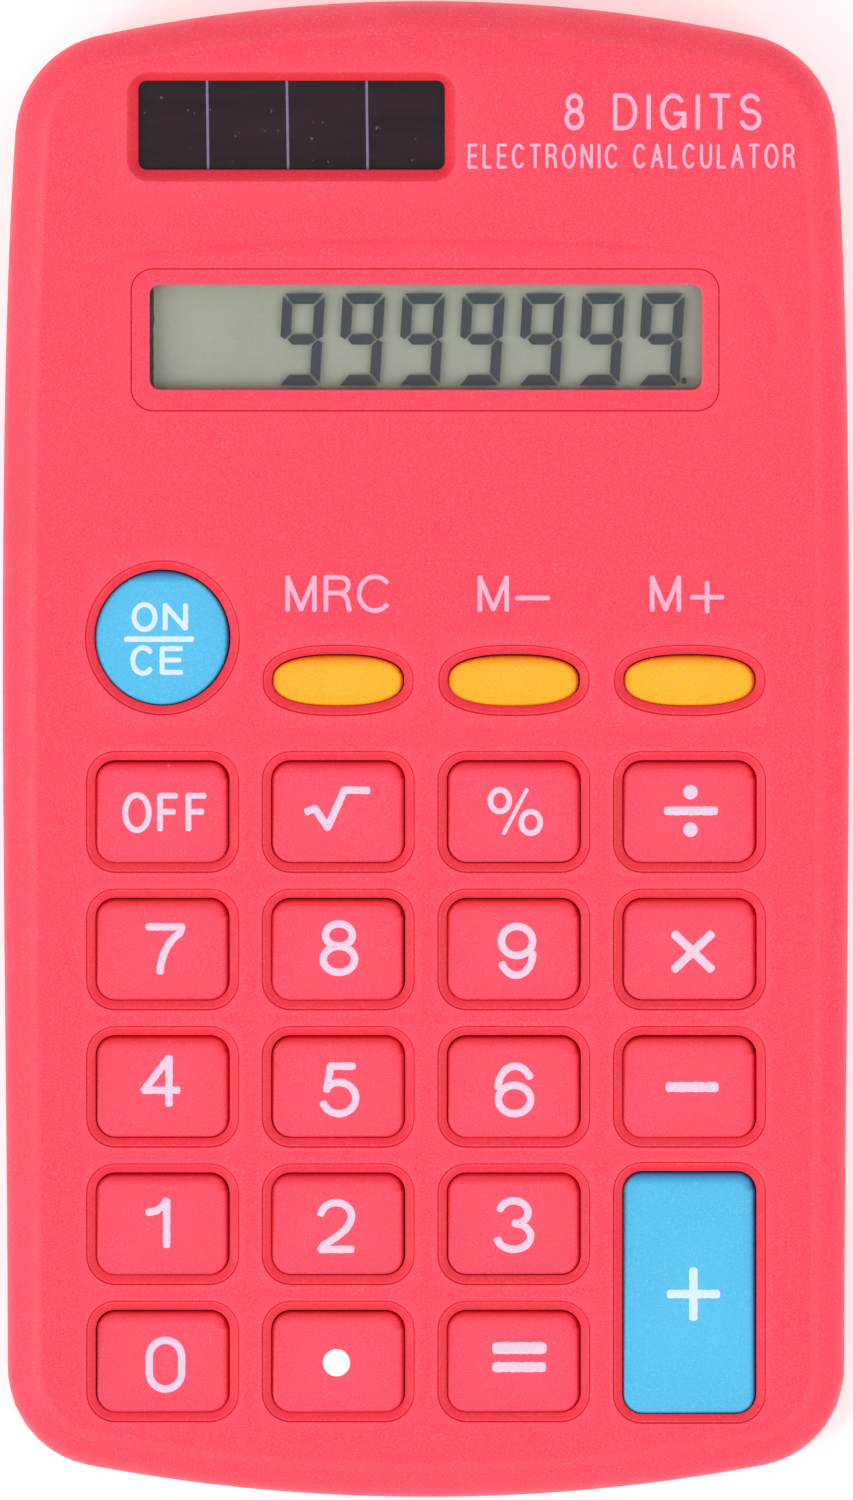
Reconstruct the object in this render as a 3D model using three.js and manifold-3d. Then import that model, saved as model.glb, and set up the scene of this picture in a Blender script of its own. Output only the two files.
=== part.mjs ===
// A pocket calculator in a wedge-shaped red case, lying on its back.
// Millimetres. X runs across the case, Y from the key end to the display end, Z up.
// The origin is on the resting face, under the middle of the case.
import * as THREE from 'three';
import { mergeVertices } from 'three/addons/utils/BufferGeometryUtils.js';
import Module from 'manifold-3d';

const wasm = await Module();
wasm.setup();

// ---------------------------------------------------------------- driving dimensions

const GAP = 0.3;                       // air left between pieces that touch on the real object
const SMALLEST_EDGE = 0.004;           // slivers shorter than this are closed up
const LENGTH = 120;
const WALL = 1.8;                      // case wall
const FLOOR = 1.6;                     // bottom of the back cover
const PARTING = 6.5;                   // height of the joint between the two covers
const TOP_ROUND = 2.6;                 // rounding of the upper edge
const BASE_ROUND = 1.5;                // rounding of the edge round the resting face

const KEYPAD_TILT = 3 * Math.PI / 180;
const DISPLAY_TILT = 8 * Math.PI / 180;
const FOLD = { y: 21.6, z: 15.62 };    // where the keypad plane meets the display plane
const CREST_RADIUS = 14;               // the display plane rolls over to the far end on this arc
const CREST_START_Y = 52;
const CREST_SLOPES = [-1, -10, -19].map((degrees) => degrees * Math.PI / 180);

// The plan outline: two shallow end arcs, four corner arcs and two bowed sides.
const NEAR_END = { arc: 145, corner: 8, half: 33.65, lean: 0, reach: 29.6 };
const FAR_END = { arc: 125, corner: 8.5, half: 32.93, lean: 4 * Math.PI / 180, reach: 27 };

// Keypad: every depth is measured down from the keypad plane.
const COLUMN_PITCH = 14.08;
const ROW_PITCH = 11.02;
const FIRST_ROW_Y = -4.97;
const KEY_HOLE = { width: 10.75, height: 8.25, corner: 1.6 };
const PLUS_HOLE_HEIGHT = 19.5;
const OVAL_HOLE = { width: 10.6, height: 4.2 };
const OVAL_ROW_Y = 5.57;
const ROUND_HOLE_RADIUS = 5.45;
const ROUND_ROW_Y = 8.98;
const RIM = { width: 0.75, depth: 0.5 };     // sloped ring round each key opening
const OVERRUN = 0.2;                         // how far a cutter runs past the surface it meets
const KEY_CLEARANCE = 0.18;
const KEY_TOP = -0.4;
const FLANGE = { reach: 0.7, top: -2.1, bottom: -2.9 };
const DOME = { top: -3.2, base: 2.6, tip: 1.6, wall: 0.65 };
const MEMBRANE = { halfWidth: 26.7, near: -54.5, far: 13.2, top: -4.5, bottom: -5.1 };
const BOARD = { halfWidth: 30, near: -54.8, far: 17.3, corner: 7, top: -5.4, bottom: -6.6 };

// Display and solar cell: depths are measured down from the display plane.
const LCD_OPENING = { x: 0, y: 33, width: 44.2, height: 8.4, corner: 0.8 };
const LCD_STACK = { x: 0, y: 32.6 };
const LCD_GLASS = { width: 48.6, height: 12.6, top: -1.9, bottom: -3.7 };
const LCD_FILM = { width: 47, height: 11, thickness: 0.3 };
const LCD_POCKET_DEPTH = -1.0;
const DIP = { y: 32.6, width: 57.7, height: 13.5, corner: 6.6, depth: 0.35 };
const RETAINER = { width: 56.4, height: 14.6, corner: 1, back: -5.8 };
const SOLAR_OPENING = { x: -10.75, y: 49.85, width: 24.5, height: 7.1, corner: 0.65 };
const SOLAR_RIM = { width: 0.95, depth: 0.8 };
const SOLAR_CELL = { width: 27.6, height: 9.8, top: -1.3, bottom: -2.6 };

// Fasteners.
const CASE_SCREW = { head: 1.8, headTop: 1.2, headHeight: 1.2, shank: 0.95, tip: 9.4 };
const CASE_SCREW_SPOTS = [[-29.9, -46.5], [29.9, -46.5], [-29.6, 47], [29.6, 47]];
const CASE_BOSS = 2.3;
const BOARD_SCREW = { head: 1.6, headHeight: 1, shank: 0.85, tip: -3 };
const BOARD_SCREW_SPOTS = [[-28.9, -32.5], [28.9, -32.5], [-28.9, 1], [28.9, 1]];
const BOARD_BOSS = 1.9;

// One AAA cell lies across the case under the display end.
const CELL = { radius: 5.25, length: 44.5, button: 1.9, buttonHeight: 0.8, y: 48, z: 8.3 };
const BAY = { halfWidth: 26, near: 42, far: 54, roof: 13.85, wall: 1 };
const DOOR = { halfWidth: 25, near: 38.2, top: 6.2 };

// ---------------------------------------------------------------- finishes

function finish(color, roughness, metalness = 0) {
  return new THREE.MeshStandardMaterial({ color, roughness, metalness });
}
const redPlastic = finish(0xf8485e, 0.5);
const redKeyPlastic = finish(0xfb4c66, 0.42);
const bluePlastic = finish(0x62c4f0, 0.42);
const yellowPlastic = finish(0xffbb3e, 0.42);
const liquidCrystalGlass = finish(0x9ea896, 0.12);
const polarizerFilm = finish(0x8f9a86, 0.2);
const reflectorFilm = finish(0xb8bfae, 0.45);
const solarGlass = finish(0x382a30, 0.1);
const foamRubber = finish(0x2b2b2d, 0.9);
const silicone = finish(0xc9cbc6, 0.6);
const whitePlastic = finish(0xdcdcd6, 0.55);
const boardLaminate = finish(0x2c6b3f, 0.5);
const epoxy = finish(0x111113, 0.35);
const steel = finish(0xb9bcc0, 0.3, 1);
const cellJacket = finish(0x2d3a52, 0.35, 0.4);
const capacitorSleeve = finish(0x20242c, 0.4);
const ledEpoxy = finish(0xc8141e, 0.15);
const ribbonFilm = finish(0xb98b4a, 0.4);
const redLead = finish(0xc21d22, 0.45);
const blackLead = finish(0x1a1a1c, 0.45);

// ---------------------------------------------------------------- solids

/** A closed three.js geometry as a solid, with its shared corners merged. */
function solid(geometry) {
  const bare = geometry.clone();
  bare.deleteAttribute('normal');
  bare.deleteAttribute('uv');
  const merged = mergeVertices(bare, 1e-4);
  return new wasm.Manifold(new wasm.Mesh({
    numProp: 3,
    vertProperties: new Float32Array(merged.attributes.position.array),
    triVerts: new Uint32Array(merged.index.array),
  }));
}

/** The named mesh of a solid. */
function piece(name, body, material) {
  const { vertProperties, triVerts } = body.simplify(SMALLEST_EDGE).getMesh();
  const geometry = new THREE.BufferGeometry();
  geometry.setAttribute('position', new THREE.BufferAttribute(new Float32Array(vertProperties), 3));
  geometry.setIndex(new THREE.BufferAttribute(new Uint32Array(triVerts), 1));
  geometry.computeVertexNormals();
  const mesh = new THREE.Mesh(geometry, material);
  mesh.name = name;
  return mesh;
}

/** A block between two corners. */
function block(low, high) {
  const size = high.map((value, i) => value - low[i]);
  const geometry = new THREE.BoxGeometry(...size);
  return solid(geometry.translate(...low.map((value, i) => value + size[i] / 2)));
}

/** A flat shape raised from one height to another. */
function raise(shape, bottom, top, curveSegments = 2) {
  const options = { depth: top - bottom, bevelEnabled: false, curveSegments };
  return solid(new THREE.ExtrudeGeometry(shape, options).translate(0, 0, bottom));
}

/** A raised shape whose upper and lower edges are rounded inwards. */
function raiseRounded(shape, bottom, top, radius, bevelSegments = 2, curveSegments = 3) {
  const options = {
    depth: top - bottom - 2 * radius, bevelThickness: radius, bevelSize: radius,
    bevelOffset: -radius, bevelSegments, curveSegments,
  };
  return solid(new THREE.ExtrudeGeometry(shape, options).translate(0, 0, bottom + radius));
}

/** A shape drawn in the Y-Z plane and carried along X. */
function carryAlongX(shape, from, to) {
  const geometry = new THREE.ExtrudeGeometry(shape, { depth: to - from, bevelEnabled: false });
  const yAxis = new THREE.Vector3(0, 1, 0);
  const zAxis = new THREE.Vector3(0, 0, 1);
  const xAxis = new THREE.Vector3(1, 0, 0);
  geometry.applyMatrix4(new THREE.Matrix4().makeBasis(yAxis, zAxis, xAxis));
  return solid(geometry.translate(from, 0, 0));
}

/** An upright round post. */
function post(x, y, radius, bottom, top, sides = 12) {
  const geometry = new THREE.CylinderGeometry(radius, radius, top - bottom, sides);
  return solid(geometry.rotateX(Math.PI / 2).translate(x, y, (bottom + top) / 2));
}

/** A solid of revolution about Z from [radius, height] pairs that start and end on the axis. */
function turned(profile, sides = 14) {
  const points = profile.map(([radius, height]) => new THREE.Vector2(radius, height));
  return solid(new THREE.LatheGeometry(points, sides).rotateX(Math.PI / 2));
}

function moved(body, x, y, z) {
  return body.translate([x, y, z]);
}

// ---------------------------------------------------------------- flat shapes

/** A rectangle with rounded corners, centred on x, y. */
function roundedRectangle(width, height, corner, x = 0, y = 0) {
  const right = x + width / 2;
  const left = x - width / 2;
  const far = y + height / 2;
  const near = y - height / 2;
  const shape = new THREE.Shape();
  shape.absarc(right - corner, near + corner, corner, -Math.PI / 2, 0);
  shape.absarc(right - corner, far - corner, corner, 0, Math.PI / 2);
  shape.absarc(left + corner, far - corner, corner, Math.PI / 2, Math.PI);
  shape.absarc(left + corner, near + corner, corner, Math.PI, 1.5 * Math.PI);
  return shape;
}

/** A barrel: long sides bowed outwards and short ends nearly half round. */
function barrel(width, height, x = 0, y = 0) {
  const w = width / 2;
  const h = height / 2;
  const shape = new THREE.Shape();
  shape.moveTo(x, y - h);
  shape.bezierCurveTo(x + 0.62 * w, y - h, x + w, y - 0.75 * h, x + w, y);
  shape.bezierCurveTo(x + w, y + 0.75 * h, x + 0.62 * w, y + h, x, y + h);
  shape.bezierCurveTo(x - 0.62 * w, y + h, x - w, y + 0.75 * h, x - w, y);
  shape.bezierCurveTo(x - w, y - 0.75 * h, x - 0.62 * w, y - h, x, y - h);
  return shape;
}

function disc(radius, x = 0, y = 0) {
  const shape = new THREE.Shape();
  shape.absarc(x, y, radius, 0, 2 * Math.PI);
  return shape;
}

/** Corner arc that touches an end arc and a side that leans inwards by the end's lean. */
function cornerOf(end) {
  const x = end.half - end.corner * Math.cos(end.lean);
  const centreToCentre = end.arc - end.corner;
  const y = Math.sqrt(centreToCentre ** 2 - x ** 2) - end.arc + LENGTH / 2;
  return { x, y, touch: Math.asin(x / centreToCentre) };
}

/** The plan outline of the case, drawn anticlockwise and pulled in by an inset. */
function caseOutline(inset) {
  const near = cornerOf(NEAR_END);
  const far = cornerOf(FAR_END);
  const nearRadius = NEAR_END.corner - inset;
  const farRadius = FAR_END.corner - inset;
  const nearSide = new THREE.Vector2(near.x + nearRadius, -near.y);
  const farSide = new THREE.Vector2(
    far.x + farRadius * Math.cos(FAR_END.lean), far.y + farRadius * Math.sin(FAR_END.lean));
  const farHandle = new THREE.Vector2(
    farSide.x + FAR_END.reach * Math.sin(FAR_END.lean),
    farSide.y - FAR_END.reach * Math.cos(FAR_END.lean));
  const nearHandle = new THREE.Vector2(nearSide.x, nearSide.y + NEAR_END.reach);
  const down = -Math.PI / 2;
  const up = Math.PI / 2;
  const nearArcCentre = NEAR_END.arc - LENGTH / 2;
  const farArcCentre = LENGTH / 2 - FAR_END.arc;
  const shape = new THREE.Shape();
  shape.absarc(0, nearArcCentre, NEAR_END.arc - inset, down - near.touch, down + near.touch);
  shape.absarc(near.x, -near.y, nearRadius, down + near.touch, 0);
  shape.bezierCurveTo(nearHandle.x, nearHandle.y, farHandle.x, farHandle.y, farSide.x, farSide.y);
  shape.absarc(far.x, far.y, farRadius, FAR_END.lean, up - far.touch);
  shape.absarc(0, farArcCentre, FAR_END.arc - inset, up - far.touch, up + far.touch);
  shape.absarc(-far.x, far.y, farRadius, up + far.touch, Math.PI - FAR_END.lean);
  shape.bezierCurveTo(-farHandle.x, farHandle.y, -nearHandle.x, nearHandle.y,
    -nearSide.x, nearSide.y);
  shape.absarc(-near.x, -near.y, nearRadius, Math.PI, down - near.touch + 2 * Math.PI);
  return shape;
}

// ---------------------------------------------------------------- the two tilted planes

/** Plane coordinates: origin on the fold line, second axis up the slope, third axis outwards. */
function planeFrame(tilt) {
  const frame = new THREE.Group();
  frame.position.set(0, FOLD.y, FOLD.z);
  frame.rotation.x = tilt;
  frame.updateMatrix();
  return frame;
}
const keypad = planeFrame(KEYPAD_TILT);
const display = planeFrame(DISPLAY_TILT);

/** Distance up a tilted plane of the point that lies over a plan position y. */
function alongKeypad(y) {
  return (y - FOLD.y) / Math.cos(KEYPAD_TILT);
}
function alongDisplay(y) {
  return (y - FOLD.y) / Math.cos(DISPLAY_TILT);
}

/** A solid given in plane coordinates, put where it lies in the case. */
function inCase(body, frame) {
  return body.transform(frame.matrix.elements);
}

// ---------------------------------------------------------------- the case as one block

/** The outline raised from below the case to a sloped plane through a point. */
function slopedBlock(slope, y, z, inset) {
  const height = 60;
  const round = Math.max(TOP_ROUND - inset, 0.8);
  const body = raiseRounded(caseOutline(inset), -height, 0, round, inset > 0 ? 1 : 2, 3);
  const shear = new THREE.Matrix4().makeShear(0, 0, 0, Math.tan(slope), 0, 0);
  const lift = z - y * Math.tan(slope) - inset / Math.cos(slope);
  return moved(body.transform(shear.elements), 0, 0, lift);
}

/** The whole case without its hollow. The covers' inner surface is the same block, inset. */
function caseBlock(inset, floor) {
  let body = slopedBlock(KEYPAD_TILT, FOLD.y, FOLD.z, inset)
    .add(slopedBlock(DISPLAY_TILT, FOLD.y, FOLD.z, inset));
  const startZ = FOLD.z + (CREST_START_Y - FOLD.y) * Math.tan(DISPLAY_TILT);
  const centreY = CREST_START_Y + CREST_RADIUS * Math.sin(DISPLAY_TILT);
  const centreZ = startZ - CREST_RADIUS * Math.cos(DISPLAY_TILT);
  for (const slope of CREST_SLOPES) {
    const y = centreY - CREST_RADIUS * Math.sin(slope);
    const z = centreZ + CREST_RADIUS * Math.cos(slope);
    body = body.intersect(slopedBlock(slope, y, z, inset));
  }
  const base = raiseRounded(caseOutline(inset - OVERRUN), floor, 60, BASE_ROUND + OVERRUN,
    inset > 0 ? 1 : 2, 3);
  return body.intersect(base);
}

const outerBlock = caseBlock(0, 0);
const innerBlock = caseBlock(WALL, FLOOR);
const caseShell = outerBlock.subtract(innerBlock);
const EVERYWHERE = 100;
const abovePartingLine = block([-EVERYWHERE, -EVERYWHERE, PARTING + GAP / 2],
  [EVERYWHERE, EVERYWHERE, EVERYWHERE]);
const belowPartingLine = block([-EVERYWHERE, -EVERYWHERE, -1],
  [EVERYWHERE, EVERYWHERE, PARTING - GAP / 2]);

// ---------------------------------------------------------------- keys

const columnX = (column) => (column - 1.5) * COLUMN_PITCH;
const rowY = (row) => FIRST_ROW_Y - row * ROW_PITCH;

/** One entry per key: name, finish, place, and its hole as a function of how much it grows. */
function keyList() {
  const names = [
    ['key_off', 'key_square_root', 'key_percent', 'key_divide'],
    ['key_7', 'key_8', 'key_9', 'key_multiply'],
    ['key_4', 'key_5', 'key_6', 'key_minus'],
    ['key_1', 'key_2', 'key_3'],
    ['key_0', 'key_point', 'key_equals'],
  ];
  const keys = [];
  const rectangle = (height) => (grow, x, y) => roundedRectangle(
    KEY_HOLE.width + 2 * grow, height + 2 * grow, KEY_HOLE.corner + grow, x, y);
  names.forEach((row, r) => row.forEach((name, c) => {
    const hole = rectangle(KEY_HOLE.height);
    keys.push({ name, hole, x: columnX(c), y: rowY(r), material: redKeyPlastic });
  }));
  keys.push({
    name: 'key_plus', hole: rectangle(PLUS_HOLE_HEIGHT), material: bluePlastic,
    x: columnX(3), y: (rowY(3) + rowY(4)) / 2,
  });
  keys.push({
    name: 'key_on_clear', material: bluePlastic, x: columnX(0), y: ROUND_ROW_Y,
    hole: (grow, x, y) => disc(ROUND_HOLE_RADIUS + grow, x, y), curveSegments: 8,
  });
  ['key_memory_recall', 'key_memory_subtract', 'key_memory_add'].forEach((name, i) => keys.push({
    name, material: yellowPlastic, x: columnX(i + 1), y: OVAL_ROW_Y, curveSegments: 4,
    hole: (grow, x, y) => barrel(OVAL_HOLE.width + 2 * grow, OVAL_HOLE.height + 2 * grow, x, y),
  }));
  return keys;
}
const keys = keyList();

/** A key cap with the flange that keeps it under the cover. */
function keySolid({ hole, x, y, curveSegments = 1 }) {
  const v = alongKeypad(y);
  const cap = raiseRounded(hole(-KEY_CLEARANCE, x, v), FLANGE.bottom, KEY_TOP, 0.25, 1,
    curveSegments);
  return cap.add(raise(hole(FLANGE.reach, x, v), FLANGE.bottom, FLANGE.top, curveSegments));
}

/** The opening of a key, with its sloped rim. */
function keyCutter({ hole, x, y, curveSegments = 1 }) {
  const v = alongKeypad(y);
  const through = raise(hole(0, x, v), -2 * WALL, 1, curveSegments);
  return through.add(slopedRim(hole(-OVERRUN, x, v), RIM, curveSegments));
}

/** A cutter that opens a hole outwards. Its shape is the hole's, pulled in by the overrun. */
function slopedRim(shape, rim, curveSegments) {
  const steepness = rim.depth / rim.width;
  const options = {
    depth: 1, bevelThickness: rim.depth + OVERRUN * steepness, bevelSize: rim.width + OVERRUN,
    bevelSegments: 1, curveSegments,
  };
  return solid(new THREE.ExtrudeGeometry(shape, options));
}

// ---------------------------------------------------------------- front cover

function windowShape({ x, y, width, height, corner }, grow = 0) {
  return roundedRectangle(width + 2 * grow, height + 2 * grow, corner + grow, x,
    alongDisplay(y));
}

/** The pegs that the display's retainer is pushed over. */
function retainerPegSpots() {
  const v = alongDisplay(LCD_STACK.y);
  return [[-26.6, v - 5], [26.6, v - 5], [-26.6, v + 5], [26.6, v + 5]];
}

function frontCover() {
  let cover = caseShell.intersect(abovePartingLine);
  const bosses = [
    ...CASE_SCREW_SPOTS.map(([x, y]) => post(x, y, CASE_BOSS, PARTING + GAP, 30)),
    ...BOARD_SCREW_SPOTS.map(([x, y]) => inCase(
      post(x, alongKeypad(y), BOARD_BOSS, BOARD.top + GAP, 0), keypad)),
    ...retainerPegSpots().map(([x, v]) => inCase(post(x, v, 0.8, -6.3, -WALL / 2, 10), display)),
  ];
  const room = caseBlock(WALL / 2, FLOOR);
  cover = cover.add(wasm.Manifold.union(bosses).intersect(room));
  const dip = roundedRectangle(DIP.width, DIP.height, DIP.corner, 0, alongDisplay(DIP.y));
  const lcdBack = { ...LCD_STACK, ...LCD_GLASS, corner: LCD_OPENING.corner };
  const solarBack = { ...SOLAR_OPENING, width: SOLAR_CELL.width, height: SOLAR_CELL.height };
  const displayCuts = [
    raise(dip, -DIP.depth, 2),
    raise(windowShape(LCD_OPENING), -6, 2),
    raise(windowShape(lcdBack, 0.4), -6, LCD_POCKET_DEPTH),
    raise(windowShape(SOLAR_OPENING), -6, 2),
    raise(windowShape(solarBack, 0.3), -6, LCD_POCKET_DEPTH),
    slopedRim(windowShape(SOLAR_OPENING, -OVERRUN), SOLAR_RIM, 2),
  ];
  const keyCuts = keys.map(keyCutter);
  const pilots = [
    ...CASE_SCREW_SPOTS.map(([x, y]) => post(x, y, CASE_SCREW.shank + GAP, 0, CASE_SCREW.tip + 0.4)),
    ...BOARD_SCREW_SPOTS.map(([x, y]) => inCase(
      post(x, alongKeypad(y), BOARD_SCREW.shank + GAP, BOARD.bottom, BOARD_SCREW.tip + 0.4), keypad)),
  ];
  const cuts = [
    ...displayCuts.map((cut) => inCase(cut, display)),
    ...keyCuts.map((cut) => inCase(cut, keypad)),
    ...pilots,
  ];
  return piece('front_cover', cover.subtract(wasm.Manifold.union(cuts)), redPlastic);
}

// ---------------------------------------------------------------- back cover and door

function doorZone(grow) {
  return block([-DOOR.halfWidth - grow, DOOR.near - grow, -1],
    [DOOR.halfWidth + grow, LENGTH, DOOR.top + grow]);
}

/** The rim that stands up inside the front cover and locates the two halves. */
function locatingLip() {
  const inner = raise(caseOutline(WALL + GAP + 0.8), 0, 20, 3);
  const fused = raise(caseOutline(WALL / 2), 4, PARTING - GAP / 2, 3);
  const free = raise(caseOutline(WALL + GAP), 4, PARTING + 1.2, 3);
  const bossRoom = CASE_SCREW_SPOTS.map(([x, y]) => post(x, y, CASE_BOSS + GAP, PARTING, 20));
  const doorRoom = block([-DOOR.halfWidth - GAP, 40, 0], [DOOR.halfWidth + GAP, LENGTH, 20]);
  return fused.add(free).subtract(inner)
    .subtract(wasm.Manifold.union([...bossRoom, doorRoom]));
}

/** The battery bay: a box open downwards, standing on the floor at its two ends. */
function batteryBay() {
  const out = BAY.wall;
  const outer = raise(roundedRectangle(2 * (BAY.halfWidth + out), BAY.far - BAY.near + 2 * out, 2.2,
    0, (BAY.near + BAY.far) / 2), 2.9, BAY.roof + out);
  const inner = block([-BAY.halfWidth, BAY.near, 0], [BAY.halfWidth, BAY.far, BAY.roof]);
  const slots = [-1, 1].map((side) => block(
    [side * 25.35 - 0.65, BAY.near - 2 * out, 9.2], [side * 25.35 + 0.65, BAY.near + out, 12.3]));
  const feet = [-1, 1].map((side) => block(
    [Math.min(side * BAY.halfWidth, side * (BAY.halfWidth + out)), 43, 1],
    [Math.max(side * BAY.halfWidth, side * (BAY.halfWidth + out)), 53, 4]));
  return outer.subtract(inner).subtract(wasm.Manifold.union(slots))
    .add(wasm.Manifold.union(feet));
}

function backCover() {
  const bosses = CASE_SCREW_SPOTS.map(([x, y]) => post(x, y, CASE_BOSS, 0.5, PARTING - GAP));
  const inside = caseBlock(WALL / 2, FLOOR / 2);
  const holes = CASE_SCREW_SPOTS.flatMap(([x, y]) => [
    post(x, y, CASE_SCREW.head + GAP, -1, CASE_SCREW.headTop + CASE_SCREW.headHeight + GAP),
    post(x, y, CASE_SCREW.shank + GAP, -1, 20),
  ]);
  const cover = caseShell.intersect(belowPartingLine)
    .add(wasm.Manifold.union(bosses).intersect(inside))
    .add(locatingLip())
    .subtract(wasm.Manifold.union(holes))
    .subtract(doorZone(GAP))
    .add(batteryBay());
  return piece('back_cover', cover, redPlastic);
}

/** The door: its own part of the case wall, two tongues and a grooved thumb rest. */
function batteryDoor() {
  const plate = caseShell.intersect(belowPartingLine).intersect(doorZone(0));
  const tongues = [-11, 11].flatMap((x) => [
    block([x - 3, DOOR.near - 2, FLOOR + GAP], [x + 3, DOOR.near + 2, FLOOR + GAP + 0.7]),
    block([x - 3, DOOR.near, FLOOR - 0.3], [x + 3, DOOR.near + 2, FLOOR + GAP + 0.4]),
  ]);
  const thumbRest = roundedRectangle(18, 8, 2, 0, 46);
  const ribs = [43.4, 46, 48.6].map((y) => block([-7.5, y - 0.5, 0], [7.5, y + 0.5, 1]));
  const door = plate.add(wasm.Manifold.union(tongues))
    .subtract(raise(thumbRest, -1, 0.7))
    .add(wasm.Manifold.union(ribs));
  return piece('battery_door', door, redPlastic);
}

// ---------------------------------------------------------------- fasteners

/** A cross-headed screw that points up, with its head's outer face at z = 0. */
function screwSolid({ head, headHeight, shank }, length) {
  const screw = turned([
    [0, 0], [head * 0.9, 0], [head, 0.25], [head, headHeight], [shank, headHeight],
    [shank, length - 1], [0.2, length], [0, length],
  ], 8);
  const slots = [block([-0.25, -0.9, -1], [0.25, 0.9, 0.6]), block([-0.9, -0.25, -1], [0.9, 0.25, 0.6])];
  return screw.subtract(wasm.Manifold.union(slots));
}

function caseScrews() {
  const body = screwSolid(CASE_SCREW, CASE_SCREW.tip - CASE_SCREW.headTop);
  return CASE_SCREW_SPOTS.map(([x, y], i) => piece(`case_screw_${i + 1}`,
    moved(body, x, y, CASE_SCREW.headTop), steel));
}

function boardScrews() {
  const start = BOARD.bottom - GAP - BOARD_SCREW.headHeight;
  const body = screwSolid(BOARD_SCREW, BOARD_SCREW.tip - start);
  return BOARD_SCREW_SPOTS.map(([x, y], i) => piece(`board_screw_${i + 1}`,
    moved(body, x, alongKeypad(y), start), steel));
}

// ---------------------------------------------------------------- keypad electronics

function keyMembrane() {
  const near = alongKeypad(MEMBRANE.near);
  const far = alongKeypad(MEMBRANE.far);
  const sheet = raise(roundedRectangle(2 * MEMBRANE.halfWidth, far - near, 3, 0, (near + far) / 2),
    MEMBRANE.bottom, MEMBRANE.top);
  const dome = turned([[0, MEMBRANE.top - 0.2], [DOME.base, MEMBRANE.top - 0.2],
    [DOME.base, MEMBRANE.top], [DOME.tip, DOME.top], [0, DOME.top]], 8);
  const hollow = turned([[0, MEMBRANE.bottom - 1], [DOME.base - DOME.wall, MEMBRANE.bottom - 1],
    [DOME.base - DOME.wall, MEMBRANE.top], [DOME.tip - DOME.wall, DOME.top - DOME.wall],
    [0, DOME.top - DOME.wall]], 8);
  const under = (body) => wasm.Manifold.union(
    keys.map(({ x, y }) => moved(body, x, alongKeypad(y), 0)));
  return piece('key_membrane', sheet.add(under(dome)).subtract(under(hollow)), silicone);
}

function circuitBoard() {
  const near = alongKeypad(BOARD.near);
  const far = alongKeypad(BOARD.far);
  const sheet = raise(roundedRectangle(2 * BOARD.halfWidth, far - near, BOARD.corner, 0,
    (near + far) / 2), BOARD.bottom, BOARD.top, 4);
  const holes = BOARD_SCREW_SPOTS.map(([x, y]) => post(x, alongKeypad(y),
    BOARD_SCREW.shank + GAP, -20, 0));
  const notches = CASE_SCREW_SPOTS.slice(0, 2).map(([x, y]) => post(x, alongKeypad(y),
    CASE_BOSS + 0.6, -20, 0));
  return piece('circuit_board', sheet.subtract(wasm.Manifold.union([...holes, ...notches])),
    boardLaminate);
}

function boardComponents() {
  const under = BOARD.bottom - GAP;
  const blob = turned([[0, under - 1.6], [2.6, under - 1.4], [4.6, under - 0.8], [5.6, under],
    [0, under]], 16);
  const can = turned([[0, 0], [2.2, 0], [2.5, 0.3], [2.5, 8.7], [2.2, 9], [0, 9]], 14);
  const lamp = turned([[0, 0], [1.7, 0], [1.7, 0.8], [1.5, 0.8], [1.5, 3.6], [1.1, 4.6], [0, 5]], 12);
  const lying = (body, x, y, radius) => moved(body.rotate([90, 0, 0]), x, alongKeypad(y),
    under - radius);
  return [
    piece('chip_blob', moved(blob, 0, alongKeypad(-10), 0), epoxy),
    piece('board_capacitor', lying(can, -14, 12, 2.5), capacitorSleeve),
    piece('limiter_led', lying(lamp, 14, 12, 1.7), ledEpoxy),
  ];
}

// ---------------------------------------------------------------- display and solar cell

function filmShape(size) {
  return windowShape({ ...LCD_STACK, ...size, corner: 0.4 });
}

function displayStack() {
  const polarizerBottom = LCD_GLASS.top + GAP;
  const reflectorTop = LCD_GLASS.bottom - GAP;
  return [
    piece('lcd_front_polarizer', raise(filmShape(LCD_FILM), polarizerBottom,
      polarizerBottom + LCD_FILM.thickness), polarizerFilm),
    piece('lcd_glass', raise(filmShape(LCD_GLASS), LCD_GLASS.bottom, LCD_GLASS.top),
      liquidCrystalGlass),
    piece('lcd_rear_reflector', raise(filmShape(LCD_FILM), reflectorTop - LCD_FILM.thickness,
      reflectorTop), reflectorFilm),
    lcdRetainer(reflectorTop - LCD_FILM.thickness - GAP),
  ];
}

/** A tray that holds the display against the cover, with a slot for its ribbon. */
function lcdRetainer(seat) {
  const outline = windowShape({ ...LCD_STACK, ...RETAINER });
  const glassRoom = { ...LCD_STACK, ...LCD_GLASS, corner: RETAINER.corner };
  const near = alongDisplay(LCD_STACK.y) - RETAINER.height / 2;
  const cuts = [
    raise(windowShape(glassRoom, 0.4), seat, 2),
    block([-18.6, near - 1, LCD_GLASS.bottom - 1.1], [18.6, near + 1, 2]),
    raise(windowShape({ ...LCD_STACK, width: 40, height: 7, corner: 1 }), -20, 2),
    ...retainerPegSpots().map(([x, v]) => post(x, v, 1.1, -20, 2, 10)),
  ];
  const tray = raise(outline, RETAINER.back, -WALL - GAP);
  return piece('lcd_retainer', tray.subtract(wasm.Manifold.union(cuts)), whitePlastic);
}

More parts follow.
